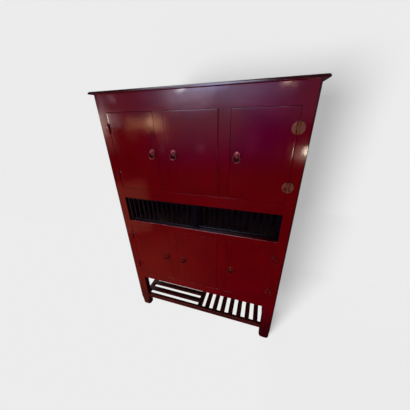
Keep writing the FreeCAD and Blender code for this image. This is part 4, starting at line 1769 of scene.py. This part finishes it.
@dataclass
class Studio:
    """The camera, the floor, the wall, the surroundings and the lights."""

    camera_place: Place = (0.3828, -1.2090, 1.6117)
    heading: float = 17.848
    pitch: float = -25.460
    roll: float = 1.353
    lens: float = 16.099
    sensor: float = 36.0
    stage_width: float = 80.0
    wall_place: float = 0.62
    wall_split: float = 0.75
    wall_height: float = 40.0
    low_shadow: Place = (0.5, 1.0, -0.85)
    high_shadow: Place = (0.48, 1.0, 0.16)
    floor_shade_from: float = 0.5
    backdrop: Colour = (0.839, 0.839, 0.839)
    soft_light: Colour = (0.95, 0.97, 1.0)
    soft_strength: float = 0.15
    room_low: Colour = (0.0, 0.0, 0.02)
    room_middle: Colour = (0.0, 0.18, 0.33)
    room_high: Colour = (0.05, 0.03, 0.04)
    room_aside: Colour = (0.12, 0.11, 0.13)
    middle_levels: tuple[float, float] = (-4.0, 2.0)
    high_levels: tuple[float, float] = (7.6, 10.0)
    aside_bearings: tuple[float, float] = (60.0, 80.0)
    aside_levels: tuple[float, float] = (-25.0, 25.0)
    panels: tuple[Panel, ...] = (
        Panel("low_softbox", (-0.4, -2.2, 0.3), (0.0, 0.0, 0.8), (1.2, 1.2), (1.0, 0.95, 0.9), 2.8, False),
        Panel("high_softbox", (-3.0, -3.4, 4.0), (0.0, 0.0, 0.9), (1.0, 1.0), (1.0, 0.97, 0.95), 1.0, False),
        Panel("lamp", (1.34, -4.1, 0.842), (0.58, -0.24, 1.46), (0.1, 0.17), (1.0, 0.87, 0.7), 26.0),
    )
    glows: tuple[Glow, ...] = (
        Glow(-181.0, 181.0, 78.0, 95.0, (0.6, 0.4, 0.35), 0.5, 10.0),
        Glow(-38.0, -1.0, 16.0, 34.0, (2.0, 2.0, 2.8), 4.0, 6.0),
        Glow(-46.0, -2.0, 36.0, 58.0, (3.6, 3.6, 4.4), 4.0, 4.0),
        Glow(-22.0, -4.0, 14.0, 60.0, (2.4, 2.4, 3.2), 4.0, 5.0),
        Glow(-95.0, -4.0, 56.0, 86.0, (4.6, 4.6, 5.2), 5.0, 3.0),
        Glow(-178.0, -100.0, 52.0, 80.0, (2.5, 2.5, 3.0), 6.0, 3.0),
        Glow(-178.0, -131.0, 40.0, 50.0, (1.2, 1.2, 1.5), 4.0, 3.0),
        Glow(-178.0, -141.0, 25.0, 40.0, (0.45, 0.45, 0.6), 4.0, 4.0),
        Glow(-25.0, -22.6, 6.88, 9.0, (14.0, 14.0, 15.0), 0.4, 0.12),
        Glow(2.6, 4.8, 7.35, 8.3, (16.0, 11.0, 8.0), 0.6, 0.12),
        Glow(-21.0, -10.5, 7.2, 40.0, (2.3, 3.2, 5.8), 2.0, 0.9),
        Glow(-28.5, 0.0, 4.0, 13.0, (1.1, 1.35, 2.2), 9.0, 4.0),
        Glow(-27.0, -16.5, 4.0, 13.0, (2.2, 2.0, 2.4), 3.0, 4.0),
        Glow(-15.8, -14.4, 4.0, 13.0, (0.6, 0.5, 0.6), 0.6, 4.0),
        Glow(-30.0, -6.0, -6.2, 15.0, (0.2, 0.3, 0.0), 5.0, 6.2),
        Glow(-30.0, 6.0, -10.0, 17.0, (0.0, 0.0, 0.5), 10.0, 8.0),
        Glow(-33.5, -29.0, -2.6, 0.6, (4.0, 2.1, 1.1), 1.5, 1.0),
        Glow(-38.6, -32.0, -2.4, 0.2, (1.9, 0.95, 0.4), 0.9, 0.8),
        Glow(-32.9, -31.9, -2.2, 1.6, (2.0, 1.4, 0.9), 0.4, 0.6),
        Glow(-39.5, -36.0, -5.5, -2.0, (0.3, 0.1, 0.05), 0.8, 1.2),
        Glow(-30.5, -28.0, -6.0, -2.0, (0.9, 0.32, 0.18), 0.8, 1.5),
        Glow(-48.0, -43.6, -3.2, 2.0, (3.4, 2.6, 2.1), 0.6, 1.6),
        Glow(-48.0, -42.0, -7.0, -3.0, (1.0, 0.4, 0.35), 0.8, 2.5),
        Glow(-54.0, -46.5, -0.8, 1.8, (14.0, 11.5, 11.0), 0.8, 0.6),
        Glow(-43.0, -42.3, -1.2, 2.0, (3.0, 2.5, 2.3), 0.25, 0.6),
        Glow(-42.6, -40.2, -1.5, 1.5, (1.3, 0.9, 0.9), 0.8, 1.2),
        Glow(-44.4, -43.4, 1.8, 5.0, (1.6, 1.3, 1.5), 0.5, 1.2),
        Glow(-41.5, -40.7, 4.0, 5.4, (2.4, 2.0, 2.1), 0.4, 0.5),
        Glow(-19.6, -17.6, -9.2, -7.2, (0.7, 0.25, 0.4), 0.6, 0.6),
        Glow(-30.4, -29.4, -9.2, -6.8, (0.6, 0.2, 0.3), 0.4, 0.8),
        Glow(-5.0, -2.4, -10.0, -3.5, (0.35, 0.06, 0.12), 0.8, 2.0),
        Glow(8.5, 14.0, -10.8, -8.0, (3.4, 2.2, 1.7), 2.0, 1.4),
        Glow(-47.0, -36.5, -31.0, -16.5, (0.6, 0.22, 0.12), 1.2, 1.5),
        Glow(-60.0, -22.0, -60.0, -33.0, (0.3, 0.09, 0.04), 18.0, 6.0),
    )

    def build(self) -> None:
        """Makes everything round the cabinet."""
        self.camera()
        self.stage()
        self.surroundings()
        for panel in self.panels:
            panel.build()

    def camera(self) -> None:
        """The camera, standing to the right of the cabinet and looking down at it."""
        data = bpy.data.cameras.new("camera")
        data.lens = self.lens
        data.sensor_width = self.sensor
        made = put("camera", data)
        turn = Matrix.Rotation(math.radians(self.heading), 4, "Z")
        tilt = Matrix.Rotation(math.radians(90.0 + self.pitch), 4, "X")
        lean = Matrix.Rotation(math.radians(-self.roll), 4, "Z")
        made.matrix_world = Matrix.Translation(self.camera_place) @ turn @ tilt @ lean
        bpy.context.scene.camera = made

    def stage(self) -> None:
        """The floor, and the wall in two planes whose shadows fall different ways."""
        width = self.stage_width
        upright = math.pi / 2
        low = (0.0, self.wall_place, self.wall_split / 2)
        high = (0.0, self.wall_place, self.wall_split + self.wall_height / 2)
        shade_from = self.floor_shade_from
        Backdrop("floor", ORIGIN, (width, width), 0.0, self.low_shadow, shade_from=shade_from).build()
        Backdrop("low_wall", low, (width, self.wall_split), upright, self.low_shadow).build()
        Backdrop("high_wall", high, (width, self.wall_height), upright, self.high_shadow).build()

    def surroundings(self) -> None:
        """A pale backdrop for the eye, soft light all round, and a dim room for the lacquer to mirror."""
        world = bpy.data.worlds.new("studio")
        bpy.context.scene.world = world
        sheet = Sheet.cleared(world)
        world.cycles.sampling_method = "NONE"
        way = sheet.node("SeparateXYZ", {0: sheet.node("TexCoord").outputs["Generated"]}).outputs
        ahead = sheet.maths("MULTIPLY", way["Y"], -1.0)
        bearing = sheet.maths("DEGREES", sheet.maths("ARCTAN2", way["X"], ahead))
        level = sheet.maths("DEGREES", sheet.maths("ARCSINE", way["Z"]))
        room = sheet.mixed(sheet.spread(level, *self.middle_levels), self.room_low, self.room_middle)
        room = sheet.mixed(sheet.spread(level, *self.high_levels), room, self.room_high)
        aside = sheet.spread(sheet.maths("ABSOLUTE", bearing), *self.aside_bearings)
        aside = sheet.maths("MULTIPLY", aside, sheet.spread(level, *self.aside_levels))
        room = sheet.mixed(aside, room, self.room_aside)
        for glow in self.glows:
            room = sheet.mixed(1.0, room, glow.light(sheet, bearing, level), "ADD")
        path = sheet.node("LightPath").outputs
        even = {"Color": self.soft_light, "Strength": self.soft_strength}
        soft = sheet.node("Background", even).outputs[0]
        mirrored = sheet.node("Background", {"Color": room}).outputs[0]
        seen = sheet.node("Background", {"Color": self.backdrop}).outputs[0]
        lit = sheet.node("MixShader", {0: path["Is Glossy Ray"], 1: soft, 2: mirrored}).outputs[0]
        both = sheet.node("MixShader", {0: path["Is Camera Ray"], 1: lit, 2: seen}).outputs[0]
        sheet.node("OutputWorld", {"Surface": both})


def main() -> None:
    """Builds the cabinet's looks and the studio."""
    logging.basicConfig(level=logging.INFO, format="%(name)s: %(message)s")
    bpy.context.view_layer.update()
    bpy.context.scene.view_settings.view_transform = "Standard"
    Studio().build()
    Carcass().build()
    LatticeShelf().build()
    for row in Row:
        for column in Column:
            Door(row, column).build()
            RingPull(row, column).build()
    Hinges().build()
    for side in Side:
        LatticePanel(side).build()


if __name__ == "__main__":
    main()
